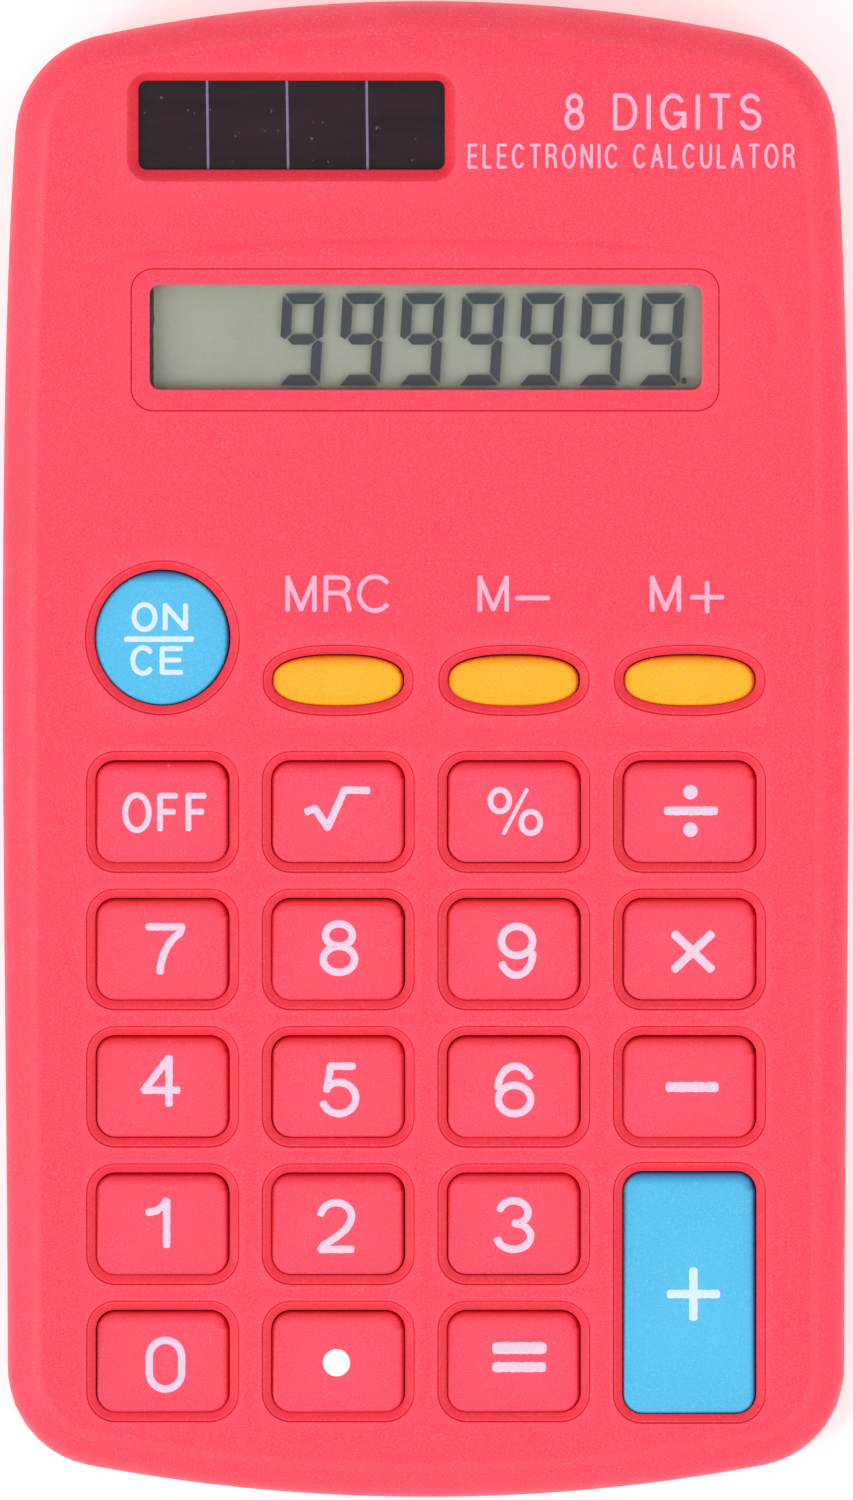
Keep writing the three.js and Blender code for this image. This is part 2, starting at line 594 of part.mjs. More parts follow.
/** The flat ribbon from the underside of the display's near edge to the board's far edge. */
function lcdRibbon() {
  const route = new THREE.SplineCurve([[27.6, 12.3], [25.4, 11.9], [22.5, 11.2], [19.5, 10.56],
    [14.5, 10.3]].map(([y, z]) => new THREE.Vector2(y, z)));
  const thickness = 0.2;
  const steps = 16;
  const upper = [];
  const lower = [];
  for (let i = 0; i <= steps; i += 1) {
    const point = route.getPoint(i / steps);
    const along = route.getTangent(i / steps);
    const across = new THREE.Vector2(-along.y, along.x).multiplyScalar(thickness / 2);
    upper.push(point.clone().add(across));
    lower.unshift(point.clone().sub(across));
  }
  return piece('lcd_ribbon', carryAlongX(new THREE.Shape([...upper, ...lower]), -18, 18),
    ribbonFilm);
}

function solarParts() {
  const cell = { ...SOLAR_OPENING, width: SOLAR_CELL.width, height: SOLAR_CELL.height };
  const pad = { ...SOLAR_OPENING, width: 22, height: 7 };
  const padTop = SOLAR_CELL.bottom - GAP;
  return [
    piece('solar_cell', raise(windowShape(cell), SOLAR_CELL.bottom, SOLAR_CELL.top), solarGlass),
    piece('solar_pad', raise(windowShape(pad), padTop - 0.9, padTop), foamRubber),
  ];
}

// ---------------------------------------------------------------- battery and its contacts

function batteryCell() {
  const { radius, length, button, buttonHeight } = CELL;
  const shoulder = length - buttonHeight;
  const can = turned([[0, 0], [radius - 1, 0], [radius - 0.4, 0.3], [radius, 0.3],
    [radius, shoulder - 0.5], [radius - 0.5, shoulder - 0.2], [button + 0.3, shoulder],
    [button, shoulder], [button, length - 0.2], [button - 0.2, length], [0, length]], 24);
  return piece('battery_cell', moved(can.rotate([0, -90, 0]), length / 2, CELL.y, CELL.z),
    cellJacket);
}

/** The solder tail of a contact, which leaves the bay through a slot. */
function contactTail(side) {
  return block([side * 25.35 - 0.25, BAY.near - 2, 9.6], [side * 25.35 + 0.25, CELL.y, 12]);
}

function positiveContact() {
  const strip = new THREE.Shape([[-25.6, 12.9], [-22.55, 12.9], [-22.55, 5], [-23.05, 5],
    [-23.05, 12.4], [-25.1, 12.4], [-25.1, 6], [-25.6, 6]].map(([x, z]) => new THREE.Vector2(x, z)));
  const bent = solid(new THREE.ExtrudeGeometry(strip, { depth: 6, bevelEnabled: false })
    .rotateX(Math.PI / 2).translate(0, CELL.y + 3, 0));
  return piece('battery_contact_positive', bent.add(contactTail(-1)), steel);
}

function negativeSpring() {
  const plate = block([25.1, CELL.y - 4, 4.3], [25.6, CELL.y + 4, 12.3]);
  const turns = 3;
  const start = 25.25;
  const end = 22.8;
  const steps = 36;
  const points = [];
  for (let i = 0; i <= steps; i += 1) {
    const t = i / steps;
    const angle = 2 * Math.PI * turns * t;
    const radius = 3.4 - 1.6 * t;
    points.push(new THREE.Vector3(start + (end - start) * t, CELL.y + radius * Math.cos(angle),
      CELL.z + radius * Math.sin(angle)));
  }
  const options = { steps, extrudePath: new THREE.CatmullRomCurve3(points), bevelEnabled: false,
    curveSegments: 3 };
  const coil = solid(new THREE.ExtrudeGeometry(disc(0.25), options));
  return piece('battery_spring_negative', plate.add(coil).add(contactTail(1)), steel);
}

// ---------------------------------------------------------------- leads

/** An insulated lead along hand-laid points. */
function lead(name, route, material) {
  const path = new THREE.CatmullRomCurve3(route.map((point) => new THREE.Vector3(...point)));
  const options = { steps: 16, extrudePath: path, bevelEnabled: false, curveSegments: 4 };
  return piece(name, solid(new THREE.ExtrudeGeometry(disc(0.5), options)), material);
}

function leads() {
  return [
    lead('battery_lead_positive', [[-25.35, 39.1, 10.5], [-26.2, 37.2, 9.9], [-27, 32.5, 8.6],
      [-27, 26, 8], [-26.4, 20.5, 7.9], [-26, 15.5, 7.8]], redLead),
    lead('battery_lead_negative', [[25.35, 39.1, 10.5], [26.2, 37.2, 9.9], [27, 32.5, 8.6],
      [27, 26, 8], [26.4, 20.5, 7.9], [26, 15.5, 7.8]], blackLead),
    lead('solar_lead_positive', [[-22, 44.6, 15.6], [-25.2, 43.2, 15.7], [-28.2, 41.2, 15],
      [-29.5, 38.2, 11.8], [-29.2, 32, 9.2], [-28.9, 25, 8.2], [-28.4, 20, 7.9],
      [-28, 15.5, 7.8]], redLead),
    lead('solar_lead_negative', [[0, 44.6, 15.6], [8, 43.4, 15.6], [22, 43.2, 15.6],
      [28.2, 41.2, 15], [29.5, 38.2, 11.8], [29.2, 32, 9.2], [28.9, 25, 8.2], [28.4, 20, 7.9],
      [28, 15.5, 7.8]], blackLead),
  ];
}

// ---------------------------------------------------------------- assembly

keypad.add(
  ...keys.map((key) => piece(key.name, keySolid(key), key.material)),
  keyMembrane(), circuitBoard(), ...boardComponents(), ...boardScrews());
display.add(...displayStack(), ...solarParts());

const calculator = new THREE.Group();
calculator.add(frontCover(), backCover(), batteryDoor(), keypad, display, lcdRibbon(),
  batteryCell(), positiveContact(), negativeSpring(), ...leads(), ...caseScrews());

export default calculator;
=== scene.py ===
# %% [markdown]
# # A pocket calculator, piece by piece
# This notebook builds the looks of a small wedge-shaped pocket calculator in Blender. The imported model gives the
# frame: every body, joint and size is already there, in metres, with Z up and the case lying on its back. Here each
# visible piece is computed as a surface with numpy, given a finish made of shader nodes, and set to ride on the
# body that carries it.

# %% Load the frame
import math

import bpy
import numpy as np
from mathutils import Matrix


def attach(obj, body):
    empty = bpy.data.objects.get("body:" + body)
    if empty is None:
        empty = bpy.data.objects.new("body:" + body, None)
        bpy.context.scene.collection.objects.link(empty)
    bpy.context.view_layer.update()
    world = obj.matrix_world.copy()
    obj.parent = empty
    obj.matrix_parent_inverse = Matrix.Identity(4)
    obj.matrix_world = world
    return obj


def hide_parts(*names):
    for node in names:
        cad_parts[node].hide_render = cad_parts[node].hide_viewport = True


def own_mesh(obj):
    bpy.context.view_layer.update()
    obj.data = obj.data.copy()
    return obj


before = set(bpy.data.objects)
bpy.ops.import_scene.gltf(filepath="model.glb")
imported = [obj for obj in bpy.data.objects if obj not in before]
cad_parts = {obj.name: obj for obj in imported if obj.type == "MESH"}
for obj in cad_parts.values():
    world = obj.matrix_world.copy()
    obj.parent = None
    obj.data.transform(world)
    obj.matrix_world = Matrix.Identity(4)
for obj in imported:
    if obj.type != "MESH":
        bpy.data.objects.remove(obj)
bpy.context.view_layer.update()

# %% [markdown]
# ## From arrays to a mesh
# A surface is a table of points and a table of four-cornered faces. We keep everything in millimetres while we
# shape it, because the real object was drawn in millimetres, and change to metres only when the mesh is made.
# Neighbouring patches meet in the same points, so one welding step closes the seams and the poles. A fourth column
# travels with each point: above 0 it holds wear from fingers and painted highlights, below 0 painted shade, and the
# finishes read it.

# %% Grids, joining and welding
MM = 0.001


def grid_faces(rows, columns, closed=False):
    """Faces of a grid of points numbered row by row: corner, next column, next row. Closed also joins the
    last column to the first, as on a ring."""
    i = np.arange(rows - 1)[:, None]
    j = np.arange(columns if closed else columns - 1)[None, :]
    k = (j + 1) % columns
    low, high = i * columns, (i + 1) * columns
    return np.stack([low + j, low + k, high + k, high + j], -1).reshape(-1, 4)


def sheet(points, closed=False, flip=False):
    """A patch from an array of rows x columns x 3 or 4: the points flattened, and the faces of their grid.
    A missing fourth column becomes 0, and flip turns the faces over."""
    rows, columns, width = points.shape
    flat = np.zeros((rows * columns, 4))
    flat[:, :width] = points.reshape(-1, width)
    faces = grid_faces(rows, columns, closed)
    return flat, faces[:, ::-1] if flip else faces


def at_height(plan, z, tag=0.0):
    """Plan points raised to one height, all with the same tag of wear and painted light."""
    return np.column_stack([plan, np.full(len(plan), z), np.full(len(plan), tag)])


def join(patches):
    """Stacks patches into one: the points follow each other, and each face number is raised by the points before."""
    offsets = np.cumsum([0] + [len(p) for p, _ in patches[:-1]])
    points = np.concatenate([p for p, _ in patches])
    faces = np.concatenate([f + o for (_, f), o in zip(patches, offsets)])
    return points, faces


GRAIN = 2e-4


def same_points(points):
    """Points that round to the same multiple of the grain share a number. Gives the first point of each number,
    and every point's number."""
    _, first, number = np.unique(np.round(points[:, :3] / GRAIN).astype(np.int64), axis=0,
                                 return_index=True, return_inverse=True)
    return first, number.reshape(-1)


def weld(points, faces):
    """Points that share a number become one. Faces that lose a corner become triangles, and faces that lose two
    are dropped."""
    first, number = same_points(points)
    faces = number[faces]
    same = faces == np.roll(faces, -1, axis=1)
    quads = faces[same.sum(1) == 0]
    quads = quads[(quads[:, 0] != quads[:, 2]) & (quads[:, 1] != quads[:, 3])]
    short = faces[same.sum(1) == 1]
    keep = ~same[same.sum(1) == 1]
    return points[first], quads, short[keep].reshape(-1, 3)


def make_piece(name, patch, material, body, replaces=(), sharp=35.0, thickness=0.0):
    """Welds a patch, writes it into a mesh with foreach_set, shades it smooth up to the sharp angle, and sets the
    piece to ride on its body. A thickness in mm adds a Solidify modifier that grows the wall inwards."""
    points, quads, triangles = weld(*patch)
    mesh = bpy.data.meshes.new(name)
    mesh.vertices.add(len(points))
    mesh.vertices.foreach_set("co", (points[:, :3] * MM).astype(np.float32).ravel())
    corners = np.concatenate([quads.ravel(), triangles.ravel()]).astype(np.int32)
    sizes = np.concatenate([np.full(len(quads), 4), np.full(len(triangles), 3)]).astype(np.int32)
    mesh.loops.add(len(corners))
    mesh.loops.foreach_set("vertex_index", corners)
    mesh.polygons.add(len(sizes))
    mesh.polygons.foreach_set("loop_start", np.concatenate([[0], np.cumsum(sizes)[:-1]]).astype(np.int32))
    mesh.polygons.foreach_set("loop_total", sizes)
    mesh.update(calc_edges=True)
    # Each point's tag becomes an attribute: wear and painted highlight above 0, painted shade below 0.
    wear_and_painted_light = mesh.attributes.new("wear_and_painted_light", "FLOAT", "POINT")
    wear_and_painted_light.data.foreach_set("value", points[:, 3].astype(np.float32))
    mesh.validate()
    mesh.shade_smooth()
    mesh.set_sharp_from_angle(angle=math.radians(sharp))
    mesh.materials.append(material)
    piece = bpy.data.objects.new(name, mesh)
    bpy.context.scene.collection.objects.link(piece)
    if thickness:
        wall = piece.modifiers.new("wall", "SOLIDIFY")
        wall.thickness = thickness * MM
        wall.offset = -1.0
        wall.use_rim = True
    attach(piece, body)
    if replaces:
        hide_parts(*replaces)
    return piece

# %% [markdown]
# ## The plan outline
# Seen from above, the case is two shallow end arcs, four corner arcs and two slightly bowed sides. We compute it
# once as a dense ring of points with the direction that points into the case, and every rounded edge, wall and
# margin is then measured as a distance in from this ring.

# %% The outline and its inward normals
LENGTH = 120.0
END_ARC = {"near": 145.0, "far": 125.0}
CORNER = {"near": 8.0, "far": 8.5}
HALF = {"near": 33.65, "far": 32.93}
LEAN = {"near": 0.0, "far": math.radians(4)}
REACH = {"near": 29.6, "far": 27.0}


def corner_centre(end):
    """The corner circle touches the end arc from inside: its centre lies at the arc's radius less its own."""
    x = HALF[end] - CORNER[end] * math.cos(LEAN[end])
    away = END_ARC[end] - CORNER[end]
    y = math.sqrt(away ** 2 - x ** 2) - END_ARC[end] + LENGTH / 2
    return x, y, math.asin(x / away)


def turn(cx, cy, radius, start, end, steps):
    """Points on a circle: centre plus radius times cosine and sine of an angle that runs from start to end."""
    a = np.linspace(start, end, steps, endpoint=False)
    return np.stack([cx + radius * np.cos(a), cy + radius * np.sin(a)], 1)


def right_half_outline():
    """From the middle of the near end, round the right side, to the middle of the far end."""
    nx, ny, ntouch = corner_centre("near")
    fx, fy, ftouch = corner_centre("far")
    lean = LEAN["far"]
    start = np.array([nx + CORNER["near"], -ny])
    stop = np.array([fx + CORNER["far"] * math.cos(lean), fy + CORNER["far"] * math.sin(lean)])
    handle_1 = start + [0, REACH["near"]]
    handle_2 = stop + [REACH["far"] * math.sin(lean), -REACH["far"] * math.cos(lean)]
    t = np.linspace(0, 1, 1400, endpoint=False)[:, None]
    side = ((1 - t) ** 3 * start + 3 * t * (1 - t) ** 2 * handle_1
            + 3 * t ** 2 * (1 - t) * handle_2 + t ** 3 * stop)
    down, up = -math.pi / 2, math.pi / 2
    return np.concatenate([
        turn(0, END_ARC["near"] - LENGTH / 2, END_ARC["near"], down, down + ntouch, 500),
        turn(nx, -ny, CORNER["near"], down + ntouch, 0, 500), side,
        turn(fx, fy, CORNER["far"], lean, up - ftouch, 500),
        turn(0, LENGTH / 2 - END_ARC["far"], END_ARC["far"], up - ftouch, up, 500)])


right = right_half_outline() * [0.9984, 1]
outline = np.concatenate([right, (right * [-1, 1])[::-1]])
along = np.roll(outline, -1, axis=0) - np.roll(outline, 1, axis=0)
along /= np.hypot(along[:, 0], along[:, 1])[:, None]
inward = np.stack([-along[:, 1], along[:, 0]], 1)
print("outline", np.ptp(outline, axis=0).round(2), "mm")


def nearest_edge(x, y):
    """For each point: the closest outline point, the inward normal there, and the distance between the two."""
    gaps = (x.ravel()[:, None] - outline[None, :, 0]) ** 2 + (y.ravel()[:, None] - outline[None, :, 1]) ** 2
    k = gaps.argmin(1)
    return outline[k], inward[k], np.sqrt(gaps.min(1))


def keep_inside(points, inset):
    """Points that lie closer to the outline than the inset, or beyond it, move onto the inset line."""
    edge, normal, _ = nearest_edge(points[:, 0], points[:, 1])
    depth = ((points[:, :2] - edge) * normal).sum(1)
    moved = edge + normal * inset
    return np.where((depth < inset)[:, None], moved, points[:, :2])


# %% [markdown]
# ## The face of the case
# The top is two planes: the keypad rises by 3 degrees and the display end by 8, so the display looks at the user.
# A smooth maximum joins them where they cross. Past the display the face rolls over on an arc. Round the display
# lies a shallow goggle-shaped dip. One height function holds all of it, so every patch, rim and printed letter
# can ask for its height and will sit exactly on the face.

# %% Height of the face at any plan point
KEYPAD_TILT, DISPLAY_TILT = math.radians(3), math.radians(8)
FOLD_Y, FOLD_Z = 21.6, 15.62
FOLD_SOFTNESS = 0.22
CREST_Y, CREST_RADIUS = 52.0, 14.0
DIP_DEPTH, DIP_CORNER = 0.62, 6.7


def smooth_step(t):
    """0 below 0, 1 above 1, and 3t^2 - 2t^3 between."""
    t = np.clip(t, 0, 1)
    return t * t * (3 - 2 * t)


def box_distance(u, v):
    """How far outside a box a point lies, from how far it is past the box's side u and past its end v. Inside the
    box the number is negative."""
    return np.hypot(np.maximum(u, 0), np.maximum(v, 0)) + np.minimum(np.maximum(u, v), 0)


def goggle_dip(x, y):
    """Depth of the dip: a rounded box whose upper side bulges, deepest along its upper side, fading to nothing
    at its lower side."""
    bulge = 1.1 * np.clip(1 - (x / 23.3) ** 2, 0, 1) * smooth_step((y - 31) / 7)
    outside = box_distance(np.abs(x) - (28.85 - DIP_CORNER), np.abs(y - bulge - 33.0) - (7.0 - DIP_CORNER))
    return DIP_DEPTH * smooth_step((DIP_CORNER - outside) / 0.75) * np.clip((y - 24.5) / 14.5, 0, 1)


def face_height(x, y, dip=True):
    """Smooth maximum of the two planes, replaced by the crest arc past its start, less the dip."""
    low = FOLD_Z + (y - FOLD_Y) * math.tan(KEYPAD_TILT)
    high = FOLD_Z + (y - FOLD_Y) * math.tan(DISPLAY_TILT)
    z = (low + high + np.sqrt((low - high) ** 2 + FOLD_SOFTNESS ** 2)) / 2
    crest_z = FOLD_Z + (CREST_Y - FOLD_Y) * math.tan(DISPLAY_TILT)
    cy = CREST_Y + CREST_RADIUS * math.sin(DISPLAY_TILT)
    cz = crest_z - CREST_RADIUS * math.cos(DISPLAY_TILT)
    roll = cz + np.sqrt(np.maximum(CREST_RADIUS ** 2 - (y - cy) ** 2, 0))
    z = np.where(y > CREST_Y, roll, z)
    return z - goggle_dip(x, y) if dip else z


def sunk(x, y, depth, tilt, tag=0.0):
    """Points below the face: down by the depth along the plane's normal, so holes stay square to the plane."""
    z = face_height(x, y) - depth * math.cos(tilt)
    return np.stack(np.broadcast_arrays(x, y + depth * math.sin(tilt), z, tag), -1)


# %% [markdown]
# ## Cells
# The face is cut into rectangular cells like a sheet of stamps. A cell with a hole in it is a stack of rings:
# the innermost ring is the foot of the hole's wall, the next ones climb the wall and its sloped rim, and the last
# ones spread out to the straight edge of the cell. All rings have the same number of points, so they join up as
# one grid, and cells share their edge points with their neighbours.

# %% Loops for holes
ACROSS, ALONG = 18, 14
START_ANGLES = np.array([225, 315, 405, 495.0])


def rounded_loop(x, y, width, height, corner, across=ACROSS, along=ALONG, bend=4):
    """A rounded rectangle as a ring that starts at the near left corner: per side half an arc, a straight run
    and half an arc, with the given number of steps on each side."""
    right, far = x + width / 2 - corner, y + height / 2 - corner
    left, near = x - width / 2 + corner, y - height / 2 + corner
    centres = np.array([[left, near], [right, near], [right, far], [left, far], [left, near]])
    sides = []
    for k, steps in enumerate((across, along, across, along)):
        a = np.radians(START_ANGLES[k] + np.linspace(0, 45, bend + 1))
        b = a + math.pi / 4
        first = centres[k] + corner * np.stack([np.cos(a), np.sin(a)], 1)
        second = centres[k + 1] + corner * np.stack([np.cos(b), np.sin(b)], 1)
        t = np.linspace(0, 1, steps - 2 * bend + 1)[1:-1, None]
        sides += [first, first[-1] * (1 - t) + second[0] * t, second[:-1]]
    return np.concatenate(sides)


def oval_loop(x, y, width, height, power=2.0, across=ACROSS, along=ALONG):
    """A superellipse: cosine and sine of the angle raised to 2 / power. Power 2 is an ellipse, 2.5 a barrel."""
    a = np.radians(np.concatenate([START_ANGLES[k] + np.linspace(0, 90, steps, endpoint=False)
                                   for k, steps in enumerate((across, along, across, along))]))
    c, s = np.cos(a), np.sin(a)
    return np.stack([x + width / 2 * np.sign(c) * np.abs(c) ** (2 / power),
                     y + height / 2 * np.sign(s) * np.abs(s) ** (2 / power)], 1)


# %% Cells with and without a hole
def sides_of(xs, ys, inset):
    """The four sides of a cell, left to right and near to far, kept inside the inset line."""
    near = np.stack([xs, np.full_like(xs, ys[0])], 1)
    far = np.stack([xs, np.full_like(xs, ys[-1])], 1)
    left = np.stack([np.full_like(ys, xs[0]), ys], 1)
    right = np.stack([np.full_like(ys, xs[-1]), ys], 1)
    return [keep_inside(side, inset) for side in (near, far, left, right)]


def plain_cell(xs, ys, inset):
    """Coons patch: the blend of near and far sides plus the blend of left and right sides, less the blend of the
    four corners."""
    near, far, left, right = sides_of(xs, ys, inset)
    u = ((xs - xs[0]) / (xs[-1] - xs[0]))[None, :, None]
    v = ((ys - ys[0]) / (ys[-1] - ys[0]))[:, None, None]
    corners = ((1 - u) * (1 - v) * near[0] + u * (1 - v) * near[-1]
               + (1 - u) * v * far[0] + u * v * far[-1])
    return (1 - v) * near + v * far + (1 - u) * left[:, None] + u * right[:, None] - corners


def cell_ring(xs, ys, inset):
    """The four sides as one ring, in the order of the hole's rings."""
    near, far, left, right = sides_of(xs, ys, inset)
    return np.concatenate([near[:-1], right[:-1], far[:0:-1], left[:0:-1]])


def spread(inner, outer, shares):
    """Rings between two rings, each a share of the way from the inner to the outer."""
    t = np.asarray(shares)[:, None, None]
    return inner * (1 - t) + outer * t

# %% [markdown]
# ## Finishes of moulded plastic
# The case is ABS from a spark-eroded mould: an even satin grain a fifth of a millimetre wide, slightly uneven in
# colour, a little paler where fingers rub. Each point's tag also paints shade into the colour in wells, gaps and
# grooves, and highlights along some edges. We could paint this in an image, but noise that reads the object
# coordinates has no seams and holds at any distance. Colour, roughness and bump all come from the same few noises.

# %% Small helpers for shader nodes
def new_finish(name):
    """An empty node material with its Principled shader, and short cuts to make nodes and links."""
    material = bpy.data.materials.new(name)
    material.use_nodes = True
    tree = material.node_tree
    return material, tree, tree.nodes["Principled BSDF"]


def noise(tree, scale, detail=2.0, rough=0.5, stretch=(1, 1, 1)):
    """Noise over the object coordinates, scale in cycles per metre."""
    place = tree.nodes.new("ShaderNodeTexCoord")
    fit = tree.nodes.new("ShaderNodeMapping")
    fit.inputs["Scale"].default_value = stretch
    texture = tree.nodes.new("ShaderNodeTexNoise")
    texture.inputs["Scale"].default_value = scale
    texture.inputs["Detail"].default_value = detail
    texture.inputs["Roughness"].default_value = rough
    tree.links.new(place.outputs["Object"], fit.inputs["Vector"])
    tree.links.new(fit.outputs["Vector"], texture.inputs["Vector"])
    return texture.outputs["Fac"]


def ramp(tree, value, stops):
    """A colour ramp through (position, colour) stops, a plain number meaning that grey."""
    node = tree.nodes.new("ShaderNodeValToRGB")
    elements = node.color_ramp.elements
    while len(elements) < len(stops):
        elements.new(0.5)
    for element, (position, colour) in zip(elements, stops):
        element.position = position
        element.color = (*colour, 1) if isinstance(colour, tuple) else (colour, colour, colour, 1)
    tree.links.new(value, node.inputs["Fac"])
    return node.outputs["Color"]


def blend_colours(tree, share, first, second):
    """Mixes two colours or sockets by a share that is a socket."""
    node = tree.nodes.new("ShaderNodeMix")
    node.data_type = "RGBA"
    tree.links.new(share, node.inputs["Factor"])
    for socket, colour in ((node.inputs["A"], first), (node.inputs["B"], second)):
        if isinstance(colour, tuple):
            socket.default_value = (*colour, 1)
        else:
            tree.links.new(colour, socket)
    return node.outputs["Result"]


def combine(tree, operation, first, second):
    """One arithmetic step between a socket and a socket or number."""
    node = tree.nodes.new("ShaderNodeMath")
    node.operation = operation
    for socket, value in zip(node.inputs, (first, second)):
        if isinstance(value, (int, float)):
            socket.default_value = value
        else:
            tree.links.new(value, socket)
    return node.outputs["Value"]


def bump(tree, shader, heights):
    """Chains bump nodes, one per (height socket, depth in mm, strength)."""
    previous = None
    for height, depth, strength in heights:
        node = tree.nodes.new("ShaderNodeBump")
        node.inputs["Distance"].default_value = depth * MM
        node.inputs["Strength"].default_value = strength
        tree.links.new(height, node.inputs["Height"])
        if previous:
            tree.links.new(previous, node.inputs["Normal"])
        previous = node.outputs["Normal"]
    tree.links.new(previous, shader.inputs["Normal"])


def attribute(tree, name="wear_and_painted_light"):
    """The value that each point carries under this name."""
    node = tree.nodes.new("ShaderNodeAttribute")
    node.attribute_name = name
    return node.outputs["Fac"]


def object_x(tree):
    """The X coordinate of the shaded point in the object's frame, in metres."""
    place = tree.nodes.new("ShaderNodeTexCoord")
    split = tree.nodes.new("ShaderNodeSeparateXYZ")
    tree.links.new(place.outputs["Object"], split.inputs["Vector"])
    return split.outputs["X"]


def scaled(colour, share):
    """A colour with each of its parts multiplied by the share."""
    return tuple(share * c for c in colour)


# %% Moulded plastic in its colours
def moulded_plastic(name, colour, pale_colour, deep, roughness, grain, grain_size=0.16, dust=0.0):
    """Satin plastic: fine grain as bump, slow and fast mottling of the colour, the pale colour where the points are
    tagged above 0 (wear from fingers, and painted highlights), and the deep colour as painted shade where they are
    tagged below 0."""
    material, tree, shader = new_finish(name)
    cloud = noise(tree, 160, 3)
    speck = noise(tree, 1000 / grain_size, 1)
    base = ramp(tree, cloud, [(0.3, scaled(colour, 0.95)), (0.7, scaled(colour, 1.04))])
    fleck = ramp(tree, speck, [(0.30, scaled(colour, 0.80)), (0.52, colour), (0.85, pale_colour)])
    half = combine(tree, "MULTIPLY", speck, 0.75)
    body = blend_colours(tree, half, base, fleck)
    # Tags above 0: wear from fingers and painted highlights, a patchy blend towards the pale colour.
    patchy = noise(tree, 900, 4, 0.7)
    wear_and_highlight = combine(tree, "MULTIPLY", combine(tree, "MAXIMUM", attribute(tree), 0.0),
                  combine(tree, "MULTIPLY", patchy, 0.55))
    body = blend_colours(tree, wear_and_highlight, body, pale_colour)
    # Tags below 0: painted shade, a blend towards the deep colour.
    painted_shade = combine(tree, "MULTIPLY", combine(tree, "MINIMUM", attribute(tree), 0.0), -1.0)
    body = blend_colours(tree, painted_shade, body, deep)
    if dust:
        lint = ramp(tree, noise(tree, 2100, 2, 0.6), [(0.79, 0.0), (0.84, dust)])
        body = blend_colours(tree, lint, body, (0.95, 0.86, 0.86))
    tree.links.new(body, shader.inputs["Base Color"])
    rough = ramp(tree, noise(tree, 420, 3), [(0.3, roughness - 0.05), (0.7, roughness + 0.06)])
    tree.links.new(rough, shader.inputs["Roughness"])
    shader.inputs["Specular IOR Level"].default_value = 0.25
    bump(tree, shader, [(speck, grain, 0.6), (noise(tree, 2600, 2), grain * 1.5, 0.35)])
    return material


# Each plastic: colour, pale colour for wear and painted highlights, deep colour for painted shade, roughness, grain,
# grain size, dust.
RED = (0.94, 0.055, 0.099)
red_case = moulded_plastic("red_case_plastic", RED, (0.93, 0.20, 0.25), (0.70, 0.0, 0.008), 0.50, 0.014,
                           dust=0.5)
red_key = moulded_plastic("red_key_plastic", (0.96, 0.066, 0.117), (0.94, 0.22, 0.28), (0.58, 0.0, 0.006),
                          0.45, 0.005, 0.12, 0.3)
blue_key = moulded_plastic("blue_key_plastic", (0.075, 0.49, 0.80), (0.30, 0.62, 0.85), (0.012, 0.10, 0.33), 0.45,
                           0.004, 0.12)
yellow_key = moulded_plastic("yellow_key_plastic", (0.98, 0.44, 0.012), (0.98, 0.62, 0.2), (0.62, 0.16, 0.004), 0.45,
                             0.004, 0.12)
print("plastics", [m.name for m in (red_case, red_key, blue_key, yellow_key)])

# %% [markdown]
# ## Where the keys are
# The keys sit on a grid of four columns and five rows, with the round key and three small oval ones above. The
# list below says each key's hole once. The cover's holes, the caps, the rubber domes and the legends all use it.

# %% The key table
COLUMN, ROW, FIRST_ROW = 14.08, 11.02, -4.97
MEMORY_ROW, ROUND_KEY_Y = 5.57, 8.98
KEY_ROWS = [["off", "square_root", "percent", "divide"], ["7", "8", "9", "multiply"],
            ["4", "5", "6", "minus"], ["1", "2", "3"], ["0", "point", "equals"]]


def column_x(column):
    """The middle of a key column; columns 1 and 2 lie either side of the case's middle line."""
    return (column - 1.5) * COLUMN


def row_y(row):
    """The middle of a key row, counted from the display end towards the near end."""
    return FIRST_ROW - row * ROW


def rectangle_hole(x, y, height, rows=1):
    """The hole as a function of how far it grows."""
    return lambda grow: rounded_loop(x, y, 10.75 + 2 * grow, height + 2 * grow, max(1.6 + grow, 0.4),
                                     ACROSS, ALONG * rows)


def oval_hole(x, y, width, height, power, steps):
    """An oval hole as a function of how far it grows; power 2 is an ellipse, more is squarer."""
    return lambda grow: oval_loop(x, y, width + 2 * grow, height + 2 * grow, power, ACROSS, steps)


KEYS = {f"key_{name}": {"x": column_x(c), "y": row_y(r), "hole": rectangle_hole(column_x(c), row_y(r), 8.25),
                        "colour": "red_key"}
        for r, names in enumerate(KEY_ROWS) for c, name in enumerate(names)}
PLUS_Y = (row_y(3) + row_y(4)) / 2
KEYS["key_plus"] = {"x": column_x(3), "y": PLUS_Y, "colour": "blue_key",
                    "hole": rectangle_hole(column_x(3), PLUS_Y, 19.5, 2)}
KEYS["key_on_clear"] = {"x": column_x(0), "y": ROUND_KEY_Y, "colour": "blue_key",
                        "hole": oval_hole(column_x(0), ROUND_KEY_Y, 10.9, 10.9, 2.0, 30)}
for c, name in enumerate(("memory_recall", "memory_subtract", "memory_add"), 1):
    KEYS[f"key_{name}"] = {"x": column_x(c), "y": MEMORY_ROW, "colour": "yellow_key",
                           "hole": oval_hole(column_x(c), MEMORY_ROW, 10.6, 4.2, 2.5, 18)}
print(len(KEYS), "keys")

